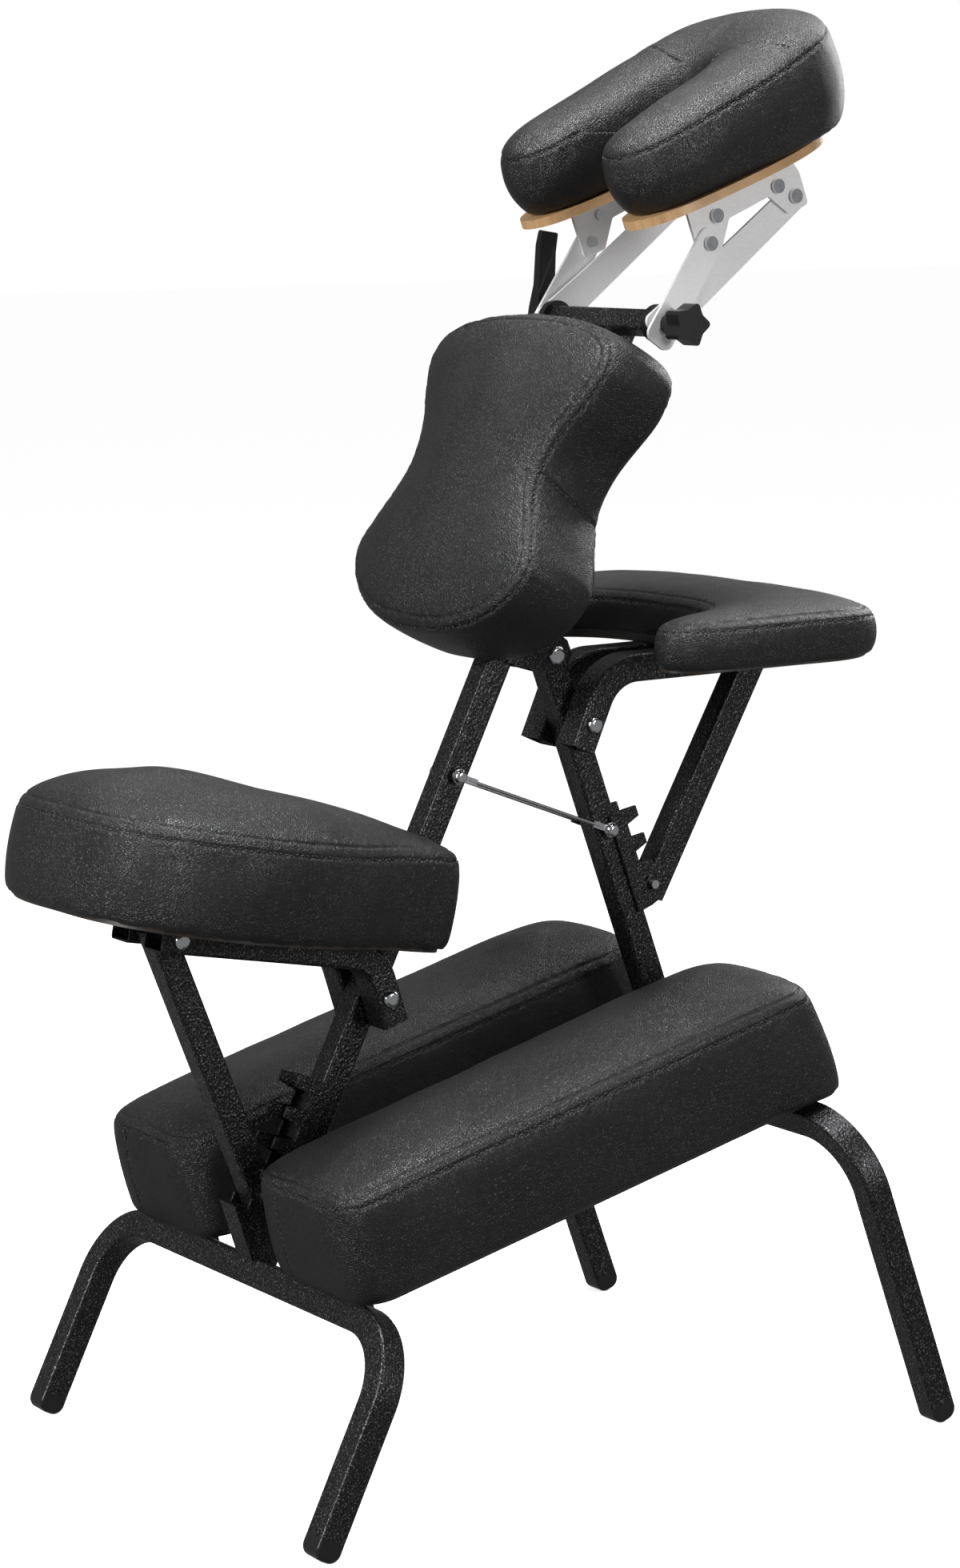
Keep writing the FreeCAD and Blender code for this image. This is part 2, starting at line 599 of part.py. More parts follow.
SEAT_STRUT = strut("seat_strut", seat_pin, seat_strut_top, "tube", "0", "-5.5", "6.5")
ARM_STRUT = strut("arm_strut", arm_pin, arm_strut_top, "arm_strut_depth", "arm_strut_shift", "-9", "5.5")
cross_bolt("seat_strut_pin", "pin", "20", SEAT_STRUT, 0, 0, headed=False)
cross_bolt("arm_strut_pin", "pin", "20", ARM_STRUT, 0, 0, headed=False)

# ---- cushions and their boards; each outline lists half of its points ----
SEAT_OUTLINE = [(-335, 0), (-328, 70), (-295, 122), (-235, 146), (-165, 145), (-95, 122), (-40, 99), (0, 92),
                (22, 84), (34, 62), (30, 40), (14, 27), (-8, 21), (-20, 15), (-23, 0)]
ARM_OUTLINE = [(106, 0), (104, 45), (90, 88), (58, 118), (18, 134), (-8, 148), (-14, 168), (4, 190), (50, 199),
               (115, 200), (180, 197), (216, 172), (236, 110), (240, 0)]
CHEST_OUTLINE = [(-122, 0), (-117, 62), (-98, 108), (-64, 133), (-26, 118), (14, 98), (52, 101), (92, 123),
                 (125, 135), (152, 120), (167, 68), (171, 0)]
CUSHION_OUTLINE = [(200, 0), (192, 60), (160, 102), (110, 123), (50, 127), (-10, 124), (-50, 112), (-68, 84),
                   (-60, 54), (-30, 38), (20, 34), (70, 31), (100, 19), (108, 0)]
PLY_OUTLINE = [(186, 0), (178, 55), (148, 94), (100, 112), (45, 116), (-10, 114), (-50, 104), (-68, 82), (-60, 60),
               (-30, 47), (20, 41), (70, 37), (98, 23), (106, 0)]


def shrink(outline, amount):
    """Bring an outline in towards its middle by an even amount."""
    xs = [x for x, y in outline]
    middle = (min(xs) + max(xs)) / 2
    half = (max(xs) - min(xs)) / 2
    wide = max(y for x, y in outline)
    return [(middle + (x - middle) * (half - amount) / half, y * (wide - amount) / wide) for x, y in outline]


def board(name, outline, base, thickness, inset, frame):
    """A flat board with an even outline, brought in from the pad on it by an inset."""
    body = new_body(name)
    sketch = new_sketch(body, "XY_Plane", base)
    draw_curve(sketch, shrink(outline, inset))
    add_pad(body, sketch, thickness)
    keep(name, body, frame)


def cushion(name, outline, base, top, crown, frame):
    """A foam pad with its cover: an even outline with a rounded top edge."""
    body = new_body(name)
    sketch = new_sketch(body, "XY_Plane", base)
    draw_curve(sketch, outline)
    add_pad(body, sketch, f"({top}) - ({base})")
    round_edges(body, crown, lies_at(2, top))
    keep(name, body, frame)


board("seat_board", SEAT_OUTLINE, "seat_base", "seat_board", 8, SEAT)
cushion("seat_pad", SEAT_OUTLINE, "seat_base + seat_board", "seat_top", "seat_crown", SEAT)
board("arm_board", ARM_OUTLINE, "arm_base", "arm_board", 6, ARM)
cushion("arm_pad", ARM_OUTLINE, "arm_base + arm_board", "arm_top", "arm_crown", ARM)


def knee_cushion(name, low, high, inset, side, crown=None):
    body = new_body(name)
    sketch = new_sketch(body, "XY_Plane", low)
    draw_rounded(sketch, f"knee_start + {inset}", f"knee_end - {inset}", f"-knee_width / 2 + {inset}",
                 f"knee_width / 2 - {inset}", "knee_corner")
    add_pad(body, sketch, f"({high}) - ({low})")
    if crown:
        round_edges(body, crown, lies_at(2, high))
    keep(name, body, beyond(KNEE, 0, 0, turn_of(KNEE), side * size_of("knee_centre")))
    return body


for side, tag in ((1, "l"), (-1, "r")):
    knee_cushion(f"knee_board_{tag}", "knee_rise", "knee_rise + knee_board", "6", side)
    knee_cushion(f"knee_pad_{tag}", "knee_rise + knee_board", "knee_top", "0", side, "knee_crown")
    saddle = new_body(f"knee_saddle_{tag}")
    profile = new_sketch(saddle, "XZ_Plane")
    draw_box(profile, "saddle_near", "saddle_far", "-saddle_drop", "knee_rise - 0.1")
    add_pad(saddle, profile, "saddle_width", both_ways=True)
    drill(saddle, "XZ_Plane", "saddle_bore", ("0", "0"))
    keep(f"knee_saddle_{tag}", saddle, beyond(KNEE, 0, 0, turn_of(KNEE), side * size_of("knee_centre")))

# ---- chest pad on its sliding sleeve ----
chest_board = new_body("chest_board")
sketch = new_sketch(chest_board, "YZ_Plane", "-chest_back - chest_board")


def draw_upright(sketch, outline):
    """Draw a closed outline whose mirror axis is upright."""
    half = [Vec(y, x + size_of("chest_along"), 0) for x, y in outline]
    mirrored = [Vec(-y, x + size_of("chest_along"), 0) for x, y in reversed(outline) if y > 0]
    curve = Part.BSplineCurve()
    curve.interpolate(Points=half + mirrored, PeriodicFlag=True)
    sketch.addGeometry(curve, False)


draw_upright(sketch, shrink(CHEST_OUTLINE, 6))
add_pad(chest_board, sketch, "chest_board - 0.1")
keep("chest_board", chest_board, REAR)
chest_pad = new_body("chest_pad")
sketch = new_sketch(chest_pad, "YZ_Plane", "-chest_front")
draw_upright(sketch, CHEST_OUTLINE)
add_pad(chest_pad, sketch, "chest_front - chest_back - chest_board")
round_edges(chest_pad, "chest_crown", lies_at(0, "-chest_front"))
keep("chest_pad", chest_pad, REAR)
sleeve = new_body("chest_sleeve")
section = new_sketch(sleeve, "XY_Plane", "sleeve_low")
draw_box(section, "-chest_back", "sleeve / 2", "-sleeve / 2", "sleeve / 2")
draw_square(section, "tube + 0.8")
add_pad(sleeve, section, "sleeve_length")
keep("chest_sleeve", sleeve, REAR)


def clamp_knob(name, reach, along):
    """A small round hand knob on a screw, standing out ahead of the post."""
    body = new_body(name)
    shaft = new_sketch(body, "YZ_Plane", reach)
    draw_circle(shaft, "4", "0", along)
    add_pad(body, shaft, "22")
    head = new_sketch(body, "YZ_Plane", f"{reach} + 8")
    draw_circle(head, "14", "0", along)
    add_pad(body, head, "14")
    far = lies_at(0, f"{reach} + 22")
    round_edges(body, "3", far)
    keep(name, body, REAR)


clamp_knob("chest_knob", "sleeve / 2 + 0.1", "sleeve_low + sleeve_length / 2")
clamp_knob("head_knob", "tube / 2 + 0.1", "head_knob_along")

# ---- head post, crossbar and its fittings ----
head_frame = straight_tube("head_frame", "head_tube", "head_tube", "head_wall", "head_low", "head_top", REAR)
section = new_sketch(head_frame, "XZ_Plane", "-bar_half")
draw_rounded(section, "-bar_behind - bar_size / 2", "-bar_behind + bar_size / 2", "bar_along - bar_size / 2",
             "bar_along + bar_size / 2", "tube_corner")
add_pad(head_frame, section, "2 * bar_half")
drill(head_frame, "XZ_Plane", "stud / 2 + slip / 2", ("-bar_behind", "bar_along"))


def side_disc(name, side, low, high, radius, frame, x="0", z="0", bore="stud / 2 + slip / 2"):
    """A bored disc on one side of the chair."""
    body = new_body(name)
    lift = f"-({high})" if side > 0 else low
    sketch = new_sketch(body, "XZ_Plane", lift)
    draw_circle(sketch, radius, x, z)
    draw_circle(sketch, bore, x, z)
    add_pad(body, sketch, f"({high}) - ({low})")
    keep(name, body, frame)
    return body


for side, tag in ((1, "l"), (-1, "r")):
    side_disc(f"collar_{tag}", side, "bar_half + 0.1", "bar_half + collar_length", "collar_size / 2", BAR)

stud = new_body("clamp_stud")
section = new_sketch(stud, "XZ_Plane", "-108")
draw_circle(section, "stud / 2")
add_pad(stud, section, "108 + knob_reach - 2")
lever_pin = new_sketch(stud, "YZ_Plane")
draw_circle(lever_pin, "lever_pin / 2", "lever_y", "0")
add_pad(stud, lever_pin, "17.6", both_ways=True)
LEVER = frame_at(BAR.Base.x, BAR.Base.z, size_of("lever_lean"))
keep("clamp_stud", stud, LEVER)

# ---- four bar plates, rails, ply base and cushion of the face cradle ----
RAIL_SCREWS_X = ("17", "90")
FRONT_PIVOT = CRADLE.Base
REAR_PIVOT = CRADLE.multVec(Vec(size_of("rear_pivot_x"), 0, size_of("rear_pivot_z")))
rear_arm_span = (REAR_PIVOT - BAR.Base).Length
front_arm_span = (FRONT_PIVOT - BAR.Base).Length
REAR_ARM = frame_at(BAR.Base.x, BAR.Base.z, turn_towards(BAR.Base, REAR_PIVOT))
FRONT_ARM = frame_at(FRONT_PIVOT.x, FRONT_PIVOT.z, turn_towards(BAR.Base, FRONT_PIVOT))


def side_plate(name, side, low, corners, frame, rounding="8"):
    """A flat plate on one side of the chair, drawn ahead and up in its own frame."""
    body = new_body(name)
    lift = f"-({low}) - plate" if side > 0 else low
    sketch = new_sketch(body, "XZ_Plane", lift)
    draw_polygon(sketch, corners)
    add_pad(body, sketch, "plate")
    round_edges(body, rounding, runs_along(1))
    keep(name, body, frame)
    return body


def drill_slot(body, half, x, z_low, z_high):
    """Cut a straight slot square to the plate."""
    sketch = new_sketch(body, "XZ_Plane")
    draw_box(sketch, f"{x} - {half}", f"{x} + {half}", z_low, z_high)
    cut_through(body, sketch)


for side, tag in ((1, "l"), (-1, "r")):
    end = str(rear_arm_span)
    plate = side_plate(f"rear_arm_{tag}", side, "arm_in", [
        ("-16", "-14"), ("16", "-14"), ("14.4", f"{end} + 11"), ("-11", f"{end} + 11"), ("-13", "60")], REAR_ARM, "7")
    boss = new_sketch(plate, "XZ_Plane", "-arm_out + 0.3" if side > 0 else "arm_in + 1")
    draw_circle(boss, "9")
    add_pad(plate, boss, "arm_out - arm_in - 1.3")
    drill(plate, "XZ_Plane", "stud / 2 + slip / 2", ("0", "0"))
    drill(plate, "XZ_Plane", "screw_hole", ("0", end))
    down = f"-{front_arm_span}"
    plate = side_plate(f"front_arm_{tag}", side, "arm_out", [
        ("-15", f"{down} - 22"), ("15", f"{down} - 22"), ("13", "12"), ("-13", "12")], FRONT_ARM, "9")
    drill(plate, "XZ_Plane", "screw_hole", ("0", "0"))
    drill_slot(plate, "(stud / 2 + 1.2)", "0", f"{down} - 12", f"{down} + 14")
    rail = side_plate(f"side_rail_{tag}", side, "rail_out", [
        ("-12", "-12"), ("12", "-12"), ("30", "12"), ("78", "14"), ("94", "-8"), ("118", "-8"),
        ("118", "22"), ("112", "ply_base - 0.1"), ("-12", "ply_base - 0.1")], CRADLE, "4")
    drill(rail, "XZ_Plane", "screw_hole", ("0", "0"), ("rear_pivot_x", "rear_pivot_z"),
          *[(x, "rail_screw_z") for x in RAIL_SCREWS_X])
    flange = new_sketch(rail, "XY_Plane", "ply_base - 0.1 - plate")
    inner, outer = sorted((side * size_of("rail_out - 16"), side * size_of("rail_out + 0.5")))
    draw_box(flange, "0", "104", str(inner), str(outer))
    add_pad(rail, flange, "plate")


def add_screw(body, side, low, high, x, z):
    """One domed screw with a flat nut, square to the plates it holds."""
    nut = f"({low}) - 3"
    for near, far, radius in ((nut, low, "screw_nut"), (low, high, "screw"),
                              (high, f"({high}) + 3.4", "screw_head")):
        lift = f"-({far})" if side > 0 else near
        sketch = new_sketch(body, "XZ_Plane", lift)
        draw_circle(sketch, radius, x, z)
        add_pad(body, sketch, f"({far}) - ({near})")


def screws(name, spots):
    """Screws that share one node: each spot gives its span and its place."""
    pieces = []
    for number, (side, low, high, x, z) in enumerate(spots):
        body = new_body(f"{name}_{number}")
        add_screw(body, side, low, high, x, z)
        pieces.append(body)
    group = doc.addObject("Part::Compound", name)
    group.Links = pieces
    keep(name, group, CRADLE)


plate_pair = [("rail_out - 0.2", "arm_out + plate + 0.2", "0", "0"),
              ("arm_in - 0.2", "rail_out + plate + 0.2", "rear_pivot_x", "rear_pivot_z")]
screws("cradle_pivot_bolts", [(side, *spot) for side in (1, -1) for spot in plate_pair])
screws("rail_screws", [(side, "rail_out - 0.1", "rail_out + plate + 0.1", x, "rail_screw_z")
                       for side in (1, -1) for x in RAIL_SCREWS_X])

board("cradle_base", PLY_OUTLINE, "ply_base", "ply", 0, CRADLE)
pad = new_body("cradle_pad")
sketch = new_sketch(pad, "XY_Plane", "cushion_base")
draw_curve(sketch, CUSHION_OUTLINE)
add_pad(pad, sketch, "cushion_front + 20 - cushion_base")
slope = new_sketch(pad, "XZ_Plane")
draw_polygon(slope, [("-100", "cushion_tip"), ("220", "cushion_front"), ("220", "cushion_front + 60"),
                     ("-100", "cushion_front + 60")])
cut_through(pad, slope)
upper = size_of("cushion_tip") - 5
round_edges(pad, "cushion_crown", lambda edge: edge.BoundBox.ZMin > upper)
keep("cradle_pad", pad, CRADLE)

# ---- star knob and cam lever on the clamp stud ----
knob = new_body("star_knob")
hub = new_sketch(knob, "XZ_Plane", "arm_out + plate + 0.4")
draw_circle(hub, "9")
draw_circle(hub, "stud / 2 + slip / 2")
add_pad(knob, hub, "knob_reach - knob_thick - arm_out - plate - 0.4")
star = new_sketch(knob, "XZ_Plane", "knob_reach - knob_thick")
points = []
for k in range(10):
    angle = math.radians(36 * k)
    factor = 1 if k % 2 == 0 else 0.66
    points.append((f"knob_size * {factor * math.cos(angle):.4f}", f"knob_size * {factor * math.sin(angle):.4f}"))
draw_polygon(star, points)
add_pad(knob, star, "knob_thick")
round_edges(knob, "3.5", runs_along(1))
bore = new_sketch(knob, "XZ_Plane", "arm_out + plate + 0.4")
draw_circle(bore, "stud / 2 + slip / 2")
cut_depth(knob, bore, "knob_reach - arm_out - plate - 1", backwards=True)
keep("star_knob", knob, BAR)

lever = new_body("cam_lever")
outline = new_sketch(lever, "YZ_Plane")
draw_polygon(outline, [("lever_y - 8.5", "3.5"), ("lever_y - 8.5", "-3.5"), ("lever_y - 3.5", "-8.5"),
                       ("lever_y + 3.5", "-8.5"), ("lever_y + 8.5", "-3.5"), ("lever_y + 8", "10"),
                       ("lever_y + 5", "30"), ("lever_y + 9", "66"), ("lever_y + 7", "80"), ("lever_y + 1", "80"),
                       ("lever_y + 1", "62"), ("lever_y - 4", "30"), ("lever_y - 7", "12")])
add_pad(lever, outline, "18", both_ways=True)
round_edges(lever, "2.5", runs_along(0))
slot = new_sketch(lever, "XZ_Plane")
draw_box(slot, "-stud / 2 - 0.3", "stud / 2 + 0.3", "-14", "10")
cut_through(lever, slot)
drill(lever, "YZ_Plane", "lever_pin / 2 + slip / 2", ("lever_y", "0"))
keep("cam_lever", lever, LEVER)

# ---- check every sub-part, then write it ----
doc.recompute()
for item in doc.Objects:
    if any(word in state for state in item.State for word in ("Invalid", "Error")):
        raise RuntimeError(f"{item.Name} did not rebuild: {item.State}")
for name, item in NODES.items():
    if item.Shape.isNull() or not item.Shape.isValid():
        raise RuntimeError(f"{name} has no valid shape")
    item.Shape.exportStep(f"parts/{name}.step")
    print(name, len(item.Shape.Solids), round(item.Shape.Volume))
print(len(NODES), "sub-parts")
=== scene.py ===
import json
import math

import bmesh
import bpy
import numpy as np
from mathutils import Matrix, Vector, geometry, kdtree, noise


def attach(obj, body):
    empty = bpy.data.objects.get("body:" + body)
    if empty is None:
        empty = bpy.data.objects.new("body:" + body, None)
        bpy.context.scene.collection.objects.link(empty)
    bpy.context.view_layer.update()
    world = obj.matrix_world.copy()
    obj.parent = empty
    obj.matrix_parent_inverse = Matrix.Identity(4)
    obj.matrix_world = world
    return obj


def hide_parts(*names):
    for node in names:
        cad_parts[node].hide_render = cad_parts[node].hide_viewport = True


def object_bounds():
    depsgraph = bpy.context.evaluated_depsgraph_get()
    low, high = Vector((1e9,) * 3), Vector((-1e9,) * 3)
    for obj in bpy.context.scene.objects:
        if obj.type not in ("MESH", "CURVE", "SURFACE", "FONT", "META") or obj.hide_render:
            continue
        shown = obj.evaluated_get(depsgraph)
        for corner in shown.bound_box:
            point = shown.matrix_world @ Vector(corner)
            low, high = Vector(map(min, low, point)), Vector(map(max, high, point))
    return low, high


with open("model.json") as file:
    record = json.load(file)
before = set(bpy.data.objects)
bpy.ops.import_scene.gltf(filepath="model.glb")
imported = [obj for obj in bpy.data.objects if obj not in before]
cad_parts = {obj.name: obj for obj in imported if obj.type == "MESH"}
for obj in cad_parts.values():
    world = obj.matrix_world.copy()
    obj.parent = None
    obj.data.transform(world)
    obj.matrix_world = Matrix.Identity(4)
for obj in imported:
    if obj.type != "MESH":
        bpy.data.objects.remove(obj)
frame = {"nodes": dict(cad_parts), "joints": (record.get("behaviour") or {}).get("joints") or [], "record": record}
cad_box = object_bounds()
MM = 0.001
CLOTH_STEPS = 20
VOXEL = 0.005

# ---- places of the chair's own frames, from its joints ----
JOINTS = {joint["name"]: joint for joint in frame["joints"]}


def turned(origin, degrees):
    """A frame at a spot, turned about Y. Its X is ahead and its Z is up."""
    return Matrix.Translation(Vector(origin)) @ Matrix.Rotation(math.radians(degrees), 4, "Y")


def joint_spot(name, y=0.0):
    x, _, z = JOINTS[name]["pos_m"]
    return Vector((x, y, z))


REAR_LEAN = 26.7
SEAT_LEAN = 11.3
CRADLE_SLOPE = -20
KNEE_SLOPE = -12.9
KNEE_CENTRE = 0.129
CHEST_ALONG = 0.7
ON_ITS_BACK = Matrix(((0, 0, -1, 0), (0, 1, 0, 0), (1, 0, 0, 0), (0, 0, 0, 1)))
SEAT = turned(joint_spot("seat_tilt"), SEAT_LEAN)
ARM = turned(joint_spot("arm_tilt"), 0)
REAR = turned(joint_spot("knee_lift_l"), REAR_LEAN)
CRADLE = turned(joint_spot("front_arm_swing"), CRADLE_SLOPE)
CHEST = REAR @ Matrix.Translation((0, 0, CHEST_ALONG)) @ ON_ITS_BACK


def knee_frame(side):
    return turned(joint_spot("knee_lift_l", side * KNEE_CENTRE), KNEE_SLOPE)


# ---- materials ----

def new_material(name):
    material = bpy.data.materials.new(name)
    material.use_nodes = True
    return material, material.node_tree, material.node_tree.nodes["Principled BSDF"]


def node(tree, kind, **values):
    """Add a shader node and set its properties and inputs by name."""
    made = tree.nodes.new(kind)
    for key, value in values.items():
        if hasattr(made, key):
            setattr(made, key, value)
        else:
            made.inputs[key.replace("_", " ")].default_value = value
    return made


def object_coords(tree):
    return tree.nodes.new("ShaderNodeTexCoord").outputs["Object"]


def ramp(tree, source, stops):
    made = tree.nodes.new("ShaderNodeValToRGB")
    tree.links.new(source, made.inputs["Fac"])
    elements = made.color_ramp.elements
    while len(elements) < len(stops):
        elements.new(0.5)
    for element, (position, color) in zip(elements, stops):
        element.position = position
        element.color = (*color, 1) if isinstance(color, tuple) else (color, color, color, 1)
    return made.outputs["Color"]


def chain_bumps(tree, shader, layers):
    """Stack bump layers: each is a height output with its strength and depth."""
    last = None
    for height, strength, distance in layers:
        bump = node(tree, "ShaderNodeBump", Strength=strength, Distance=distance)
        tree.links.new(height, bump.inputs["Height"])
        if last is not None:
            tree.links.new(last, bump.inputs["Normal"])
        last = bump.outputs["Normal"]
    tree.links.new(last, shader.inputs["Normal"])


def leather_material():
    """Black grained leather: cells and pores for the grain, and slow changes of gloss and tint."""
    material, tree, shader = new_material("black_leather")
    coords = object_coords(tree)
    cells = node(tree, "ShaderNodeTexVoronoi", Scale=560.0)
    cells.feature = "DISTANCE_TO_EDGE"
    warp = node(tree, "ShaderNodeTexNoise", Scale=420.0, Detail=2.0)
    tree.links.new(coords, warp.inputs["Vector"])
    mix = node(tree, "ShaderNodeVectorMath", operation="MULTIPLY_ADD")
    tree.links.new(warp.outputs["Color"], mix.inputs[0])
    mix.inputs[1].default_value = (0.0009, 0.0009, 0.0009)
    tree.links.new(coords, mix.inputs[2])
    tree.links.new(mix.outputs[0], cells.inputs["Vector"])
    grain = ramp(tree, cells.outputs["Distance"], [(0.0, 0.0), (0.22, 1.0)])
    pores = node(tree, "ShaderNodeTexNoise", Scale=1900.0, Detail=2.0)
    tree.links.new(coords, pores.inputs["Vector"])
    folds = node(tree, "ShaderNodeTexNoise", Scale=26.0, Detail=4.0, Roughness=0.55)
    tree.links.new(coords, folds.inputs["Vector"])
    patches = node(tree, "ShaderNodeTexNoise", Scale=9.0, Detail=3.0)
    tree.links.new(coords, patches.inputs["Vector"])
    tint = ramp(tree, patches.outputs["Fac"], [(0.3, (0.0050, 0.0050, 0.0053)),
                                               (0.75, (0.0082, 0.0082, 0.0086))])
    tree.links.new(tint, shader.inputs["Base Color"])
    rough = ramp(tree, folds.outputs["Fac"], [(0.3, 0.34), (0.72, 0.44)])
    tree.links.new(rough, shader.inputs["Roughness"])
    shader.inputs["Specular IOR Level"].default_value = 0.5
    chain_bumps(tree, shader, [(folds.outputs["Fac"], 0.10, 0.012), (grain, 0.60, 0.00055),
                               (pores.outputs["Fac"], 0.15, 0.0002)])
    return material


def hammer_material():
    """Black hammertone paint with fine silver veins."""
    material, tree, shader = new_material("hammer_paint")
    coords = object_coords(tree)
    cells = node(tree, "ShaderNodeTexVoronoi", Scale=430.0)
    cells.feature = "SMOOTH_F1"
    tree.links.new(coords, cells.inputs["Vector"])
    speckle = node(tree, "ShaderNodeTexNoise", Scale=760.0, Detail=3.0, Roughness=0.7)
    tree.links.new(coords, speckle.inputs["Vector"])
    veins = ramp(tree, speckle.outputs["Fac"], [(0.52, (0.009, 0.009, 0.010)), (0.60, (0.06, 0.06, 0.064)),
                                                (0.70, (0.42, 0.42, 0.44))])
    tree.links.new(veins, shader.inputs["Base Color"])
    shader.inputs["Metallic"].default_value = 0.55
    shader.inputs["Roughness"].default_value = 0.33
    shader.inputs["Specular IOR Level"].default_value = 0.6
    chain_bumps(tree, shader, [(cells.outputs["Distance"], 0.55, 0.0010),
                               (speckle.outputs["Fac"], 0.35, 0.0005)])
    return material


def metal_material(name, color, rough, bump_scale, bump, stretch=(1, 1, 1), metallic=1.0):
    material, tree, shader = new_material(name)
    coords = object_coords(tree)
    mapping = tree.nodes.new("ShaderNodeMapping")
    mapping.inputs["Scale"].default_value = stretch
    tree.links.new(coords, mapping.inputs["Vector"])
    texture = node(tree, "ShaderNodeTexNoise", Scale=bump_scale, Detail=4.0)
    tree.links.new(mapping.outputs[0], texture.inputs["Vector"])
    tint = ramp(tree, texture.outputs["Fac"], [(0.3, tuple(c * 0.9 for c in color)), (0.7, color)])
    tree.links.new(tint, shader.inputs["Base Color"])
    rougher = ramp(tree, texture.outputs["Fac"], [(0.3, rough * 0.85), (0.7, rough * 1.2)])
    tree.links.new(rougher, shader.inputs["Roughness"])
    shader.inputs["Metallic"].default_value = metallic
    chain_bumps(tree, shader, [(texture.outputs["Fac"], bump, 0.0002)])
    return material


def plastic_material(name, color, rough, bump_scale=900.0, bump=0.12):
    material, tree, shader = new_material(name)
    coords = object_coords(tree)
    texture = node(tree, "ShaderNodeTexNoise", Scale=bump_scale, Detail=2.0)
    tree.links.new(coords, texture.inputs["Vector"])
    shader.inputs["Base Color"].default_value = (*color, 1)
    rougher = ramp(tree, texture.outputs["Fac"], [(0.3, rough * 0.85), (0.7, rough * 1.15)])
    tree.links.new(rougher, shader.inputs["Roughness"])
    chain_bumps(tree, shader, [(texture.outputs["Fac"], bump, 0.0003)])
    return material


def wood_material(name, dark, light, layer_axis_turn, layers):
    """Plywood: grain along its faces and thin layers through its thickness."""
    material, tree, shader = new_material(name)
    coords = object_coords(tree)
    mapping = tree.nodes.new("ShaderNodeMapping")
    mapping.inputs["Rotation"].default_value = (0, math.radians(layer_axis_turn), 0)
    tree.links.new(coords, mapping.inputs["Vector"])
    grain_map = tree.nodes.new("ShaderNodeMapping")
    grain_map.inputs["Scale"].default_value = (1.0, 11.0, 1.0)
    tree.links.new(mapping.outputs[0], grain_map.inputs["Vector"])
    grain = node(tree, "ShaderNodeTexNoise", Scale=26.0, Detail=6.0, Roughness=0.65)
    tree.links.new(grain_map.outputs[0], grain.inputs["Vector"])
    layer = node(tree, "ShaderNodeTexWave", Scale=layers)
    layer.bands_direction = "Z"
    tree.links.new(mapping.outputs[0], layer.inputs["Vector"])
    base = ramp(tree, grain.outputs["Fac"], [(0.3, dark), (0.7, light)])
    stripes = ramp(tree, layer.outputs["Fac"], [(0.35, 0.72), (0.6, 1.0)])
    mix = tree.nodes.new("ShaderNodeMix")
    mix.data_type = "RGBA"
    mix.blend_type = "MULTIPLY"
    mix.inputs[0].default_value = 0.75
    tree.links.new(base, mix.inputs[6])
    tree.links.new(stripes, mix.inputs[7])
    tree.links.new(mix.outputs[2], shader.inputs["Base Color"])
    shader.inputs["Roughness"].default_value = 0.38
    chain_bumps(tree, shader, [(grain.outputs["Fac"], 0.12, 0.0004)])
    return material


MATERIALS = {
    "black_leather": leather_material(),
    "hammer_paint": hammer_material(),
    "chrome": metal_material("chrome", (0.80, 0.81, 0.83), 0.14, 300.0, 0.05),
    "steel": metal_material("steel", (0.62, 0.62, 0.64), 0.28, 600.0, 0.2),
    "aluminium": metal_material("aluminium", (0.96, 0.96, 0.97), 0.36, 240.0, 0.12, (1, 1, 9), 0.12),
    "black_plastic": plastic_material("black_plastic", (0.011, 0.011, 0.012), 0.26),
    "gloss_plastic": plastic_material("gloss_plastic", (0.008, 0.008, 0.009), 0.16, 60.0, 0.05),
    "plywood": wood_material("plywood", (0.52, 0.30, 0.13), (0.74, 0.47, 0.24), 20, 210.0),
    "dark_board": wood_material("dark_board", (0.018, 0.014, 0.011), (0.04, 0.032, 0.026), 12, 200.0),
}
THREAD = plastic_material("thread", (0.030, 0.030, 0.032), 0.5, 3000.0, 0.3)

slot_of = {row["node"]: row["material_slot"] for row in frame["record"]["subparts"]}
for name, item in frame["nodes"].items():
    item.data.materials.clear()
    item.data.materials.append(MATERIALS[slot_of[name]])

# ---- cushions ----

def smooth_loop(points, count):
    """Pass a closed smooth curve through points with any number of values, evenly spaced by length."""
    total = len(points)

    def spot(k, t):
        a, b, c, d = (points[(k + shift) % total] for shift in (-1, 0, 1, 2))
        return tuple(0.5 * (2 * q + (r - p) * t + (2 * p - 5 * q + 4 * r - s) * t ** 2
                            + (3 * q - p - 3 * r + s) * t ** 3) for p, q, r, s in zip(a, b, c, d))

    fine = [spot(k, step / 24) for k in range(total) for step in range(24)]
    lengths = [0.0]
    for a, b in zip(fine, fine[1:] + fine[:1]):
        lengths.append(lengths[-1] + math.dist(a[:2], b[:2]))
    out, k = [], 0
    for number in range(count):
        target = lengths[-1] * number / count
        while lengths[k + 1] < target:
            k += 1
        share = (target - lengths[k]) / max(lengths[k + 1] - lengths[k], 1e-9)
        a, b = fine[k % len(fine)], fine[(k + 1) % len(fine)]
        out.append(tuple(p + (q - p) * share for p, q in zip(a, b)))
    return out


def mirrored(half):
    """Close a half outline of (x, y, spine x, spine y) rows by mirroring it."""
    back = [(x, -y, sx, -sy) for x, y, sx, sy in reversed(half) if y > 0]
    return half + back


def wrinkle(spot, size, seed):
    return noise.noise(spot / size + Vector((seed * 7.3, seed * 3.1, seed * 1.7)))


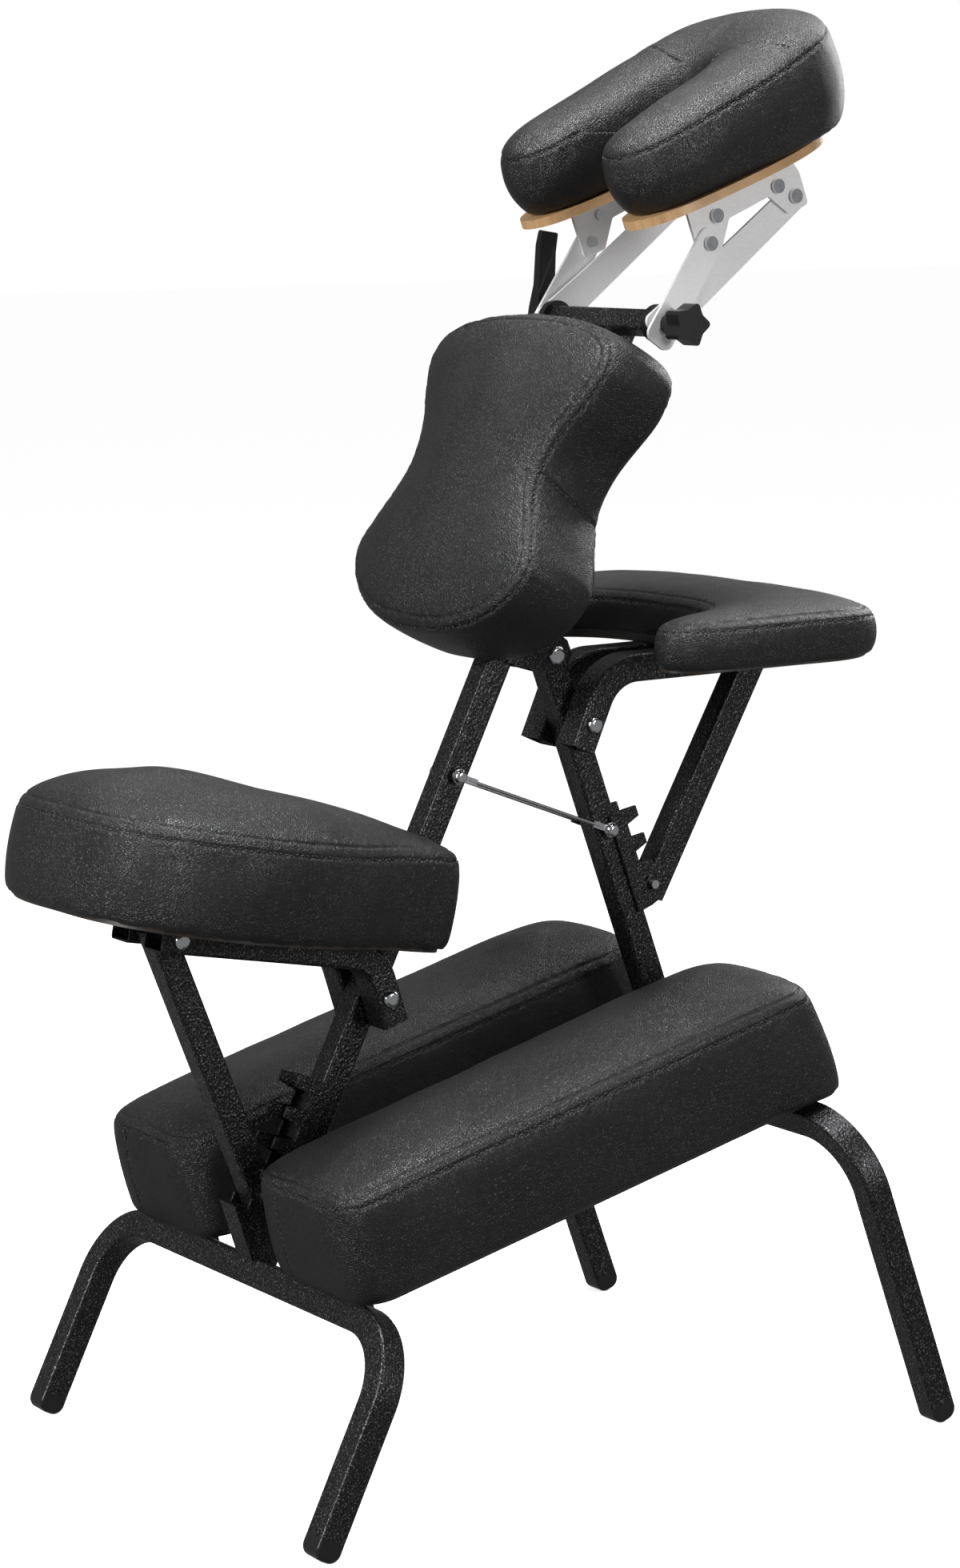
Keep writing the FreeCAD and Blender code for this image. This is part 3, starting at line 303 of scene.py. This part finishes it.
def solve_membrane(spots, triangles, fixed, spread):
    """Heights of a membrane pushed up evenly and held at its fixed points, from 0 to 1.

    A small spread gives a flat top with tight shoulders, and a large one a round dome.
    """
    count = len(spots)
    corners = spots[triangles]
    starts, ends, weights = [], [], []
    mass = np.zeros(count)
    for k in range(3):
        a, b, c = (corners[:, (k + shift) % 3] for shift in range(3))
        u, v = b - a, c - a
        doubled = np.abs(u[:, 0] * v[:, 1] - u[:, 1] * v[:, 0]) + 1e-9
        cot = np.clip((u * v).sum(1) / doubled, -3, 12)
        starts += [triangles[:, (k + 1) % 3], triangles[:, (k + 2) % 3]]
        ends += [triangles[:, (k + 2) % 3], triangles[:, (k + 1) % 3]]
        weights += [cot / 2, cot / 2]
        mass += np.bincount(triangles[:, k], doubled / 6, count)
    starts, ends, weights = np.concatenate(starts), np.concatenate(ends), np.concatenate(weights)
    own = np.bincount(starts, weights, count)
    hold = mass / spread ** 2
    free = ~fixed

    def apply(values):
        pulled = own * values - np.bincount(starts, weights * values[ends], count) + hold * values
        return np.where(free, pulled, 0.0)

    scale = np.where(free, 1 / np.maximum(own + hold, 1e-9), 0.0)
    values = np.zeros(count)
    left = np.where(free, hold, 0.0)
    ready = scale * left
    way, size = ready.copy(), (left * ready).sum()
    for _ in range(600):
        pushed = apply(way)
        step = size / max((way * pushed).sum(), 1e-30)
        values += step * way
        left -= step * pushed
        ready = scale * left
        fresh = (left * ready).sum()
        if fresh < 1e-12 * hold.sum():
            break
        way, size = ready + way * (fresh / size), fresh
    return np.clip(values, 0, None) / values.max()


def evaluated(piece):
    graph = bpy.context.evaluated_depsgraph_get()
    return bpy.data.meshes.new_from_object(piece.evaluated_get(graph))


def bake(piece):
    data = evaluated(piece)
    piece.modifiers.clear()
    piece.data = data


def kd_tree(spots):
    """A search tree over a line of spots, with two more between each pair."""
    dense = []
    for a, b in zip(spots, spots[1:] + spots[-1:]):
        parts = 3 if (a - b).length < 30 else 1
        dense += [a.lerp(b, part / parts) for part in range(parts)]
    tree = kdtree.KDTree(len(dense))
    for index, spot in enumerate(dense):
        tree.insert(spot, index)
    tree.balance()
    return tree


def snapped(cushion, spots):
    """Bring spots onto the cover, all in the cushion's frame in mm."""
    return [spot for spot, _ in cushion.surface_line(spots)]


class Cushion:
    """A stuffed pad drawn in its own frame in mm: a skirt round its board, a side wall and a crowned top."""

    WALL_STEPS = 14
    TOP_STEPS = 28
    SKIRT = 9.0
    LOW_ROUNDING = 4.0
    LOW_STEPS = 4
    INNER_SHARE = 0.93
    TOP_LIFT = 1.5
    FINE_BAND = 7
    HOLD_BAND = 6
    SEAM_HOLD = 0.6
    PLAIN_BELOW = 3
    BROAD_WAVE, BROAD_FADE = 55.0, 12
    PUCKER_WAVE, SMALL_WAVE, PUCKER_FADE = 7.0, 3.6, 8

    def __init__(self, name, place, rows, seam, crown, base, lip, **look):
        self.name, self.place = name, place
        self.rows = smooth_loop(rows, look.get("around", 320))
        self.seam, self.crown, self.base, self.lip = seam, crown, base, lip
        self.shoulder = look.get("shoulder", 30)
        self.swell = look.get("swell", 3.0)
        self.dome = look.get("dome", 0.35)
        self.pucker = look.get("pucker", 0.5)
        self.wave = look.get("wave", 1.0)
        self.tuck = look.get("tuck", 3.0)
        self.grow = look.get("grow", 3.0)
        self.lean = look.get("lean", lambda x: 0.0)
        self.cap = look.get("cap", 5.0)
        self.seed = look.get("seed", 1)
        self.settle = look.get("settle", 6)
        self.build()

    def edge(self, k, inset):
        """The outline point k, brought in towards the spine by a distance."""
        x, y, sx, sy = self.rows[k]
        share = (inset - self.grow) / math.hypot(sx - x, sy - y)
        return Vector((x + (sx - x) * share, y + (sy - y) * share, 0))

    def reach(self, k):
        x, y, sx, sy = self.rows[k]
        return math.hypot(sx - x, sy - y)

    def build(self):
        self.plans = [("under", 0.9), ("under", 0.6), ("under", 0.3), ("foot", self.SKIRT, self.lip),
                      ("foot", self.SKIRT, self.base)]
        for step in range(self.LOW_STEPS + 1):
            angle = math.pi / 2 * step / self.LOW_STEPS
            self.plans.append(("foot", self.tuck + self.LOW_ROUNDING * (1 - math.sin(angle)),
                               self.base + self.LOW_ROUNDING * (1 - math.cos(angle))))
        self.plans += [("wall", step / self.WALL_STEPS) for step in range(1, self.WALL_STEPS + 1)]
        self.first_top = len(self.plans)
        self.plans += [("top", self.INNER_SHARE * (step / self.TOP_STEPS) ** 1.55)
                       for step in range(1, self.TOP_STEPS + 1)]
        count = len(self.rows)
        top = self.raise_top(count)
        grid = []
        for index, plan in enumerate(self.plans):
            if index < self.first_top:
                grid.append([self.low_point(k, plan) for k in range(count)])
            else:
                heights = top[index - self.first_top + 1]
                grid.append([self.top_point(k, plan, heights[k]) for k in range(count)])
        mesh = bmesh.new()
        verts = [[mesh.verts.new(self.place @ (spot * MM)) for spot in ring] for ring in grid]
        for low, high in zip(verts, verts[1:]):
            for k in range(count):
                mesh.faces.new((low[k], low[(k + 1) % count], high[(k + 1) % count], high[k]))
        for ring, plan_ring in ((verts[0], grid[0]), (verts[-1], grid[-1])):
            flat = [Vector((spot.x, spot.y, 0)) for spot in plan_ring]
            for triangle in geometry.tessellate_polygon([flat]):
                corners = [ring[index] for index in triangle]
                if len(set(corners)) == 3:
                    mesh.faces.new(corners)
        bmesh.ops.recalc_face_normals(mesh, faces=mesh.faces)
        data = bpy.data.meshes.new(self.name)
        mesh.to_mesh(data)
        mesh.free()
        self.object = bpy.data.objects.new(self.name, data)
        bpy.context.scene.collection.objects.link(self.object)
        even = self.object.modifiers.new("even", "REMESH")
        even.mode = "VOXEL"
        even.voxel_size = VOXEL
        relax = self.object.modifiers.new("relax", "SMOOTH")
        relax.factor, relax.iterations = 0.5, 3
        bake(self.object)

    def raise_top(self, count):
        """How high each point of the top rings stands, as a share of the crown."""
        shares = [0.0] + [plan[1] for plan in self.plans[self.first_top:]]
        spots = []
        for share in shares:
            for k in range(count):
                spot = self.edge(k, self.swell + (self.reach(k) - self.swell) * share)
                spots.append((spot.x, spot.y))
        spots = np.array(spots)
        triangles = []
        for ring in range(len(shares) - 1):
            for k in range(count):
                a, b = ring * count + k, ring * count + (k + 1) % count
                triangles += [(a, b, b + count), (a, b + count, a + count)]
        last = (len(shares) - 1) * count
        flat = [Vector((x, y, 0)) for x, y in spots[last:]]
        triangles += [tuple(last + index for index in triangle)
                      for triangle in geometry.tessellate_polygon([flat])]
        triangles = np.array(triangles)
        fixed = np.arange(len(spots)) < count
        tight = solve_membrane(spots, triangles, fixed, self.shoulder)
        round_top = solve_membrane(spots, triangles, fixed, 400.0)
        height = (1 - self.dome) * tight ** 0.55 + self.dome * round_top ** 0.6
        return height.reshape(len(shares), count)

    def low_point(self, k, plan):
        x, y, _, _ = self.rows[k]
        if plan[0] == "under":
            spot = self.edge(k, self.grow + self.SKIRT + (self.reach(k) - self.SKIRT) * plan[1])
            spot.z = self.lip
        elif plan[0] == "foot":
            inset = plan[1] + (self.grow if plan[1] == self.SKIRT else 0)
            spot = self.edge(k, inset - (self.lean(x) if plan[1] < self.SKIRT else 0))
            spot.z = plan[2]
        else:
            seam = self.seam(x, y)
            puff = self.swell * math.sin(math.pi * min(plan[1] * 1.02, 1)) ** 0.8
            tucked = (self.tuck - self.swell) * (1 - plan[1]) ** 3 - self.lean(x) * (1 - plan[1])
            spot = self.edge(k, self.swell - puff + tucked)
            bottom = self.base + self.LOW_ROUNDING
            spot.z = bottom + (seam - bottom) * plan[1]
        return spot

    def top_point(self, k, plan, height):
        x, y, _, _ = self.rows[k]
        spot = self.edge(k, self.swell + (self.reach(k) - self.swell) * plan[1])
        spot.z = self.seam(x, y) + self.TOP_LIFT + self.crown(x, y) * height
        return spot

    def around(self, inset, rise=0.0, wanted=None):
        """Spots round the top edge at a distance in from the outline, kept where wanted says so."""
        count = len(self.rows)
        line = []
        for k in range(count + 1):
            x, y, _, _ = self.rows[k % count]
            if wanted is None or wanted(x, y):
                spot = self.edge(k % count, inset)
                line.append(Vector((spot.x, spot.y, self.seam(x, y) + rise)))
        return line

    def start_cover(self):
        """Put a cloth cover under air pressure on the pad, held at its base and along its seam."""
        held = self.object.vertex_groups.new(name="held")
        back = self.place.inverted()
        seam_tree = kd_tree(self.around(self.swell, 1.0))
        for vertex in self.object.data.vertices:
            spot = back @ vertex.co / MM
            if spot.z < self.base + self.HOLD_BAND:
                held.add([vertex.index], 1.0, "REPLACE")
            elif seam_tree.find(spot)[2] < self.HOLD_BAND:
                held.add([vertex.index], self.SEAM_HOLD, "REPLACE")
        cover = self.object.modifiers.new("cover", "CLOTH")
        cover.settings.quality = 4
        cover.settings.use_pressure = True
        cover.settings.uniform_pressure_force = 4.0
        cover.settings.vertex_group_mass = "held"
        cover.settings.effector_weights.gravity = 0.0
        cover.point_cache.frame_start = 1
        cover.point_cache.frame_end = CLOTH_STEPS

    def keep_cover(self):
        """Keep where the cloth cover went, but no further than the cap."""
        puffed = evaluated(self.object)
        limit = self.cap * MM
        for vertex, moved in zip(self.object.data.vertices, puffed.vertices):
            step = moved.co - vertex.co
            if step.length > limit:
                step *= limit / step.length
            vertex.co += step
        bpy.data.meshes.remove(puffed)
        self.object.modifiers.clear()
        settle = self.object.modifiers.new("settle", "SMOOTH")
        settle.factor, settle.iterations = 0.5, self.settle
        bake(self.object)

    def sew(self, grooves):
        """Refine the mesh and press grooves into it. Each groove is its spots, depth and width in mm."""
        smoother = self.object.modifiers.new("finer", "SUBSURF")
        smoother.levels = smoother.render_levels = 1
        bake(self.object)
        back = self.place.inverted()
        tree = kd_tree([spot for spots, _, _ in grooves for spot in snapped(self, spots)])
        mesh = bmesh.new()
        mesh.from_mesh(self.object.data)
        near = {vertex for vertex in mesh.verts if tree.find(back @ vertex.co / MM)[2] < self.FINE_BAND}
        edges = [edge for edge in mesh.edges if edge.verts[0] in near and edge.verts[1] in near]
        bmesh.ops.subdivide_edges(mesh, edges=edges, cuts=1, use_grid_fill=True, smooth=0.0)
        mesh.normal_update()
        presses = [(kd_tree(snapped(self, spots)), depth, width) for spots, depth, width in grooves]
        moves = []
        for vertex in mesh.verts:
            spot = back @ vertex.co / MM
            if spot.z < self.base + self.PLAIN_BELOW:
                continue
            broad = self.wave * wrinkle(spot, self.BROAD_WAVE, self.seed + 5)
            closest = tree.find(spot)[2]
            fine = wrinkle(spot, self.PUCKER_WAVE, self.seed)
            fine += 0.6 * wrinkle(spot, self.SMALL_WAVE, self.seed + 3)
            push = broad * min(1, closest / self.BROAD_FADE)
            push += self.pucker * fine * math.exp(-(closest / self.PUCKER_FADE) ** 2)
            for press, depth, width in presses:
                push -= depth * math.exp(-(press.find(spot)[2] / width) ** 2)
            moves.append((vertex, vertex.normal * push * MM))
        for vertex, move in moves:
            vertex.co += move
        data = bpy.data.meshes.new(self.name)
        mesh.to_mesh(data)
        mesh.free()
        data.shade_smooth()
        data.materials.append(MATERIALS["black_leather"])
        self.object.data = data

    def surface_line(self, spots):
        """Spots laid on the finished cover, each with its outward direction."""
        back = self.place.inverted()
        line = []
        for spot in spots:
            _, where, out, _ = self.object.closest_point_on_mesh(self.place @ (spot * MM))
            line.append((back @ where / MM, (back.to_3x3() @ out).normalized()))
        return line


def stitches(name, lines, place, length=3.8, gap=1.7, thick=0.62):
    """Short thread stitches along lines of (spot, outward) pairs, drawn in mm."""
    mesh = bmesh.new()
    for line in lines:
        travelled, due = 0.0, 0.0
        for (a, na), (b, nb) in zip(line, line[1:]):
            step = (b - a).length
            while due < travelled + step:
                share = (due - travelled) / max(step, 1e-6)
                middle = a.lerp(b, share)
                along = (b - a).normalized()
                out = na.lerp(nb, share).normalized()
                across = out.cross(along).normalized()
                ring_sets = []
                for end, size in ((-0.5, 0.35), (-0.32, 1.0), (0.32, 1.0), (0.5, 0.35)):
                    sink = -0.5 * thick if abs(end) == 0.5 else 0.25 * thick
                    centre = middle + along * (length * end) + out * sink
                    ring = []
                    for corner in range(6):
                        angle = corner * math.pi / 3
                        ring.append(mesh.verts.new(place @ ((centre + (across * math.cos(angle)
                                    + out * math.sin(angle)) * thick * size) * MM)))
                    ring_sets.append(ring)
                for low, high in zip(ring_sets, ring_sets[1:]):
                    for corner in range(6):
                        after = (corner + 1) % 6
                        mesh.faces.new((low[corner], low[after], high[after], high[corner]))
                mesh.faces.new(list(reversed(ring_sets[0])))
                mesh.faces.new(ring_sets[-1])
                due += length + gap
            travelled += step
    data = bpy.data.meshes.new(name)
    mesh.to_mesh(data)
    mesh.free()
    data.shade_smooth()
    data.materials.append(THREAD)
    made = bpy.data.objects.new(name, data)
    bpy.context.scene.collection.objects.link(made)
    return made


def finish_piece(piece, body, slot, *replaced):
    """Say which body a piece rides on and which CAD nodes it stands for. The slot argument, its finish, is not
    used.
    """
    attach(piece, body)
    if replaced:
        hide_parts(*replaced)


def straight_run(start, end, count=30):
    """Evenly spaced spots on a straight line, to be laid on a cover."""
    return [Vector(start).lerp(Vector(end), step / count) for step in range(count + 1)]


# Each outline lists half of its points as (x, y, spine x, spine y). The spine is where its insets head for.
# seat
SEAT_ROWS = [(-335, 0, -222, 0), (-328, 70, -222, 22), (-295, 122, -215, 35), (-235, 146, -190, 40),
             (-165, 145, -160, 34), (-95, 122, -105, 34), (-40, 99, -60, 42), (0, 92, -22, 52),
             (22, 84, -4, 54), (34, 62, 2, 52), (30, 40, 0, 48), (14, 27, -12, 46), (-8, 21, -34, 38),
             (-20, 15, -50, 22), (-23, 0, -56, 0)]
seat = Cushion("seat_cushion", SEAT, mirrored(SEAT_ROWS), lambda x, y: 123 + 6 * max(0, (x + 100) / 135),
               lambda x, y: 50 - 22 * max(0, (x + 150) / 185), 47.6, 57.6, seed=2, shoulder=46, around=360,
               settle=14)

# knee rests
KNEE_ROWS = []
for x, y in ((-12, 0), (-12, 49), (-3.2, 70.2), (18, 79), (100, 79), (200, 79), (300, 79), (400, 79),
             (474, 79), (496, 70.2), (506, 49), (507, 0)):
    KNEE_ROWS.append((x, y, min(max(x, 62), 426), 0.0))
knees = {}
for side, tag in ((1, "l"), (-1, "r")):
    knees[tag] = Cushion(f"knee_cushion_{tag}", knee_frame(side), mirrored(KNEE_ROWS),
                         lambda x, y: 105 + 0.008 * x, lambda x, y: 24 + 0.018 * x, 16.6, 26.6,
                         seed=5 + side, around=420, shoulder=34, dome=0.4,
                         lean=lambda x: 13 * min(1, max(0, (x - 440) / 60)), settle=10)

# chest rest: drawn lying on its back, x up the post, z away from it
CHEST_ROWS = [(-127, 0, -58, 0), (-121, 62, -58, 20), (-100, 108, -50, 34), (-64, 133, -40, 38),
              (-26, 118, -20, 28), (14, 98, 14, 14), (52, 101, 40, 14), (92, 123, 78, 28),
              (125, 135, 92, 36), (152, 120, 98, 32), (167, 68, 104, 20), (171, 0, 106, 0)]
chest = Cushion("chest_cushion", CHEST, mirrored(CHEST_ROWS), lambda x, y: 90, lambda x, y: 20, 15.0, 23.0,
                seed=9, shoulder=34, dome=0.45, grow=6.0, settle=10)

# armrest
ARM_ROWS = [(106, 0, 170, 0), (104, 45, 168, 38), (90, 88, 158, 84), (58, 118, 112, 148),
            (18, 134, 48, 166), (-8, 148, 24, 165), (-14, 168, 20, 167), (4, 190, 28, 168),
            (50, 199, 56, 166), (115, 200, 108, 156), (180, 197, 140, 136), (216, 172, 158, 110),
            (236, 110, 172, 80), (240, 0, 174, 0)]
arm = Cushion("arm_cushion", ARM, mirrored(ARM_ROWS), lambda x, y: 95, lambda x, y: 16, 59.6, 67.6, seed=12,
              shoulder=24, dome=0.3, swell=2.5, wave=0.8, tuck=5.0)

# face cradle
CRADLE_ROWS = [(220, 0, 162, 0), (211, 62, 158, 44), (174, 106, 132, 74), (115, 125, 99, 82),
               (50, 127, 46, 81), (-10, 124, -6, 81), (-50, 112, -30, 80), (-68, 84, -36, 79),
               (-60, 54, -34, 76), (-30, 38, -20, 78), (20, 34, 22, 80), (70, 31, 74, 78),
               (100, 19, 126, 54), (108, 0, 154, 0)]
cradle = Cushion("cradle_cushion", CRADLE, mirrored(CRADLE_ROWS), lambda x, y: 102 + 26 * (x + 60) / 260,
                 lambda x, y: 24, 46.1, 46.1, seed=15, shoulder=26, dome=0.6, wave=1.8, swell=4.0, tuck=12.0,
                 settle=8)

cushions = [seat, knees["l"], knees["r"], chest, arm, cradle]
for cushion in cushions:
    cushion.start_cover()
for step in range(1, CLOTH_STEPS + 1):
    bpy.context.scene.frame_set(step)
for cushion in cushions:
    cushion.keep_cover()
bpy.context.scene.frame_set(1)

# the body that each cushion rides on, the node that it stands for, and how full it is
BODY_OF = {
    "seat_cushion": ("seat", "seat_pad", 0.95),
    "knee_cushion_l": ("knee_rest_l", "knee_pad_l", 0.95),
    "knee_cushion_r": ("knee_rest_r", "knee_pad_r", 0.95),
    "chest_cushion": ("chest_rest", "chest_pad", 0.95),
    "arm_cushion": ("armrest", "arm_pad", 0.9),
    "cradle_cushion": ("platform", "cradle_pad", 0.85),
}
# depth and width in mm of each kind of groove
RIM_GROOVE = (1.3, 1.7)
WELT_GROOVE = (1.1, 1.5)
CROSS_GROOVE = (1.5, 1.7)
WELT_INSET, WELT_RISE = 10.0, 9.0
RIM_INSET, RIM_RISE = 0.5, 2.0


def outer_leg(x, y):
    """Whether a spot of the face cradle's outline lies on its outer side."""
    return math.hypot(x - 60, y) > 78


KNEE_END_SEAM = straight_run((-14, 34, 104), (-14, 34, 24))
cross_seams = {
    "knee_cushion_l": [KNEE_END_SEAM],
    "knee_cushion_r": [KNEE_END_SEAM],
    "chest_cushion": [straight_run((26, side * 101, 92), (4, side * 101, 20)) for side in (1, -1)],
    "cradle_cushion": [straight_run((104, side * 24, 140), (128, side * 112, 140)) for side in (1, -1)],
}
for cushion in cushions:
    wanted = outer_leg if cushion.name == "cradle_cushion" else None
    rim = cushion.around(cushion.swell + RIM_INSET, RIM_RISE, wanted)
    grooves = [(rim, *RIM_GROOVE)]
    if wanted is None:
        grooves.append((cushion.around(cushion.swell + WELT_INSET, WELT_RISE), *WELT_GROOVE))
    crossing = cross_seams.get(cushion.name, [])
    grooves += [(line, *CROSS_GROOVE) for line in crossing]
    cushion.sew(grooves)
    body, node_name, fill = BODY_OF[cushion.name]
    finish_piece(cushion.object, body, "black_leather", node_name)
    sewn = [cushion.surface_line(rim)] + [cushion.surface_line(line) for line in crossing]
    title = cushion.name.replace("cushion", "stitching")
    finish_piece(stitches(title, sewn, cushion.place), body, "black_leather")

# ---- floor, light and camera ----
WHITE = 0.86
FLOOR_GLOW = 0.80
FLOOR_HALF = 30.0
FLOOR_GAP = 0.0005
SURROUNDINGS_SEEN, SURROUNDINGS_LIGHT = 1.0, 0.21


def add_stage():
    """A wide pale floor that glows a little, so that it meets the white surroundings without a line."""
    mesh = bmesh.new()
    bmesh.ops.create_grid(mesh, x_segments=8, y_segments=8, size=FLOOR_HALF)
    data = bpy.data.meshes.new("floor")
    mesh.to_mesh(data)
    mesh.free()
    material, _, shader = new_material("floor_paper")
    shader.inputs["Base Color"].default_value = (WHITE, WHITE, WHITE, 1)
    shader.inputs["Roughness"].default_value = 0.9
    shader.inputs["Specular IOR Level"].default_value = 0.1
    shader.inputs["Emission Color"].default_value = (1, 1, 1, 1)
    shader.inputs["Emission Strength"].default_value = FLOOR_GLOW
    data.materials.append(material)
    floor = bpy.data.objects.new("floor", data)
    bpy.context.scene.collection.objects.link(floor)
    floor.location.z = cad_box[0][2] - FLOOR_GAP
    floor.visible_diffuse = False
    floor.visible_glossy = False


def add_world(seen, light):
    """White surroundings as the eye sees them, with a dimmer light from them on the chair."""
    world = bpy.data.worlds.new("studio")
    world.use_nodes = True
    tree = world.node_tree
    dim = tree.nodes["Background"]
    dim.inputs["Color"].default_value = (1, 1, 1, 1)
    dim.inputs["Strength"].default_value = light
    bright = node(tree, "ShaderNodeBackground", Color=(1, 1, 1, 1), Strength=seen)
    path = tree.nodes.new("ShaderNodeLightPath")
    mix = tree.nodes.new("ShaderNodeMixShader")
    tree.links.new(path.outputs["Is Camera Ray"], mix.inputs["Fac"])
    tree.links.new(dim.outputs[0], mix.inputs[1])
    tree.links.new(bright.outputs[0], mix.inputs[2])
    tree.links.new(mix.outputs[0], tree.nodes["World Output"].inputs["Surface"])
    bpy.context.scene.world = world


def add_light(name, spot, target, width, power, height):
    """A soft box at a spot, facing its target."""
    data = bpy.data.lights.new(name, "AREA")
    data.shape = "RECTANGLE"
    data.size, data.size_y = width, height
    data.energy = power
    lamp = bpy.data.objects.new(name, data)
    lamp.location = spot
    lamp.rotation_euler = (Vector(target) - Vector(spot)).to_track_quat("-Z", "Y").to_euler()
    bpy.context.scene.collection.objects.link(lamp)


add_stage()
scene = bpy.context.scene
add_world(SURROUNDINGS_SEEN, SURROUNDINGS_LIGHT)
add_light("overhead", (0.1, -0.1, 2.9), (0, 0, 0.5), 1.7, 100, 1.1)
add_light("left_box", (-2.8, -0.3, 1.7), (0, 0, 0.7), 0.7, 75, 1.7)
add_light("right_back", (2.4, 0.9, 1.9), (0, 0, 0.8), 0.8, 30, 1.9)
add_light("front_fill", (1.1, -3.1, 1.4), (0, 0, 0.6), 0.6, 34, 1.5)

camera_data = bpy.data.cameras.new("camera")
camera = bpy.data.objects.new("camera", camera_data)
scene.collection.objects.link(camera)
CAMERA_SPOT = Vector((-1.8728, -2.8376, 1.1223))
yaw, pitch, roll = math.radians(34.14), math.radians(-8.28), -0.0119
forward = Vector((math.sin(yaw) * math.cos(pitch), math.cos(yaw) * math.cos(pitch), math.sin(pitch)))
level_right = Vector((math.cos(yaw), -math.sin(yaw), 0))
level_up = level_right.cross(forward)
right = level_right * math.cos(roll) + level_up * math.sin(roll)
up = right.cross(forward)
camera.matrix_world = Matrix((
    (right.x, up.x, -forward.x, CAMERA_SPOT.x),
    (right.y, up.y, -forward.y, CAMERA_SPOT.y),
    (right.z, up.z, -forward.z, CAMERA_SPOT.z),
    (0, 0, 0, 1)))
camera_data.sensor_width = 36
camera_data.lens = 89.36
camera_data.shift_x, camera_data.shift_y = -0.0040, -0.0318
scene.camera = camera
scene.view_settings.view_transform = "Standard"
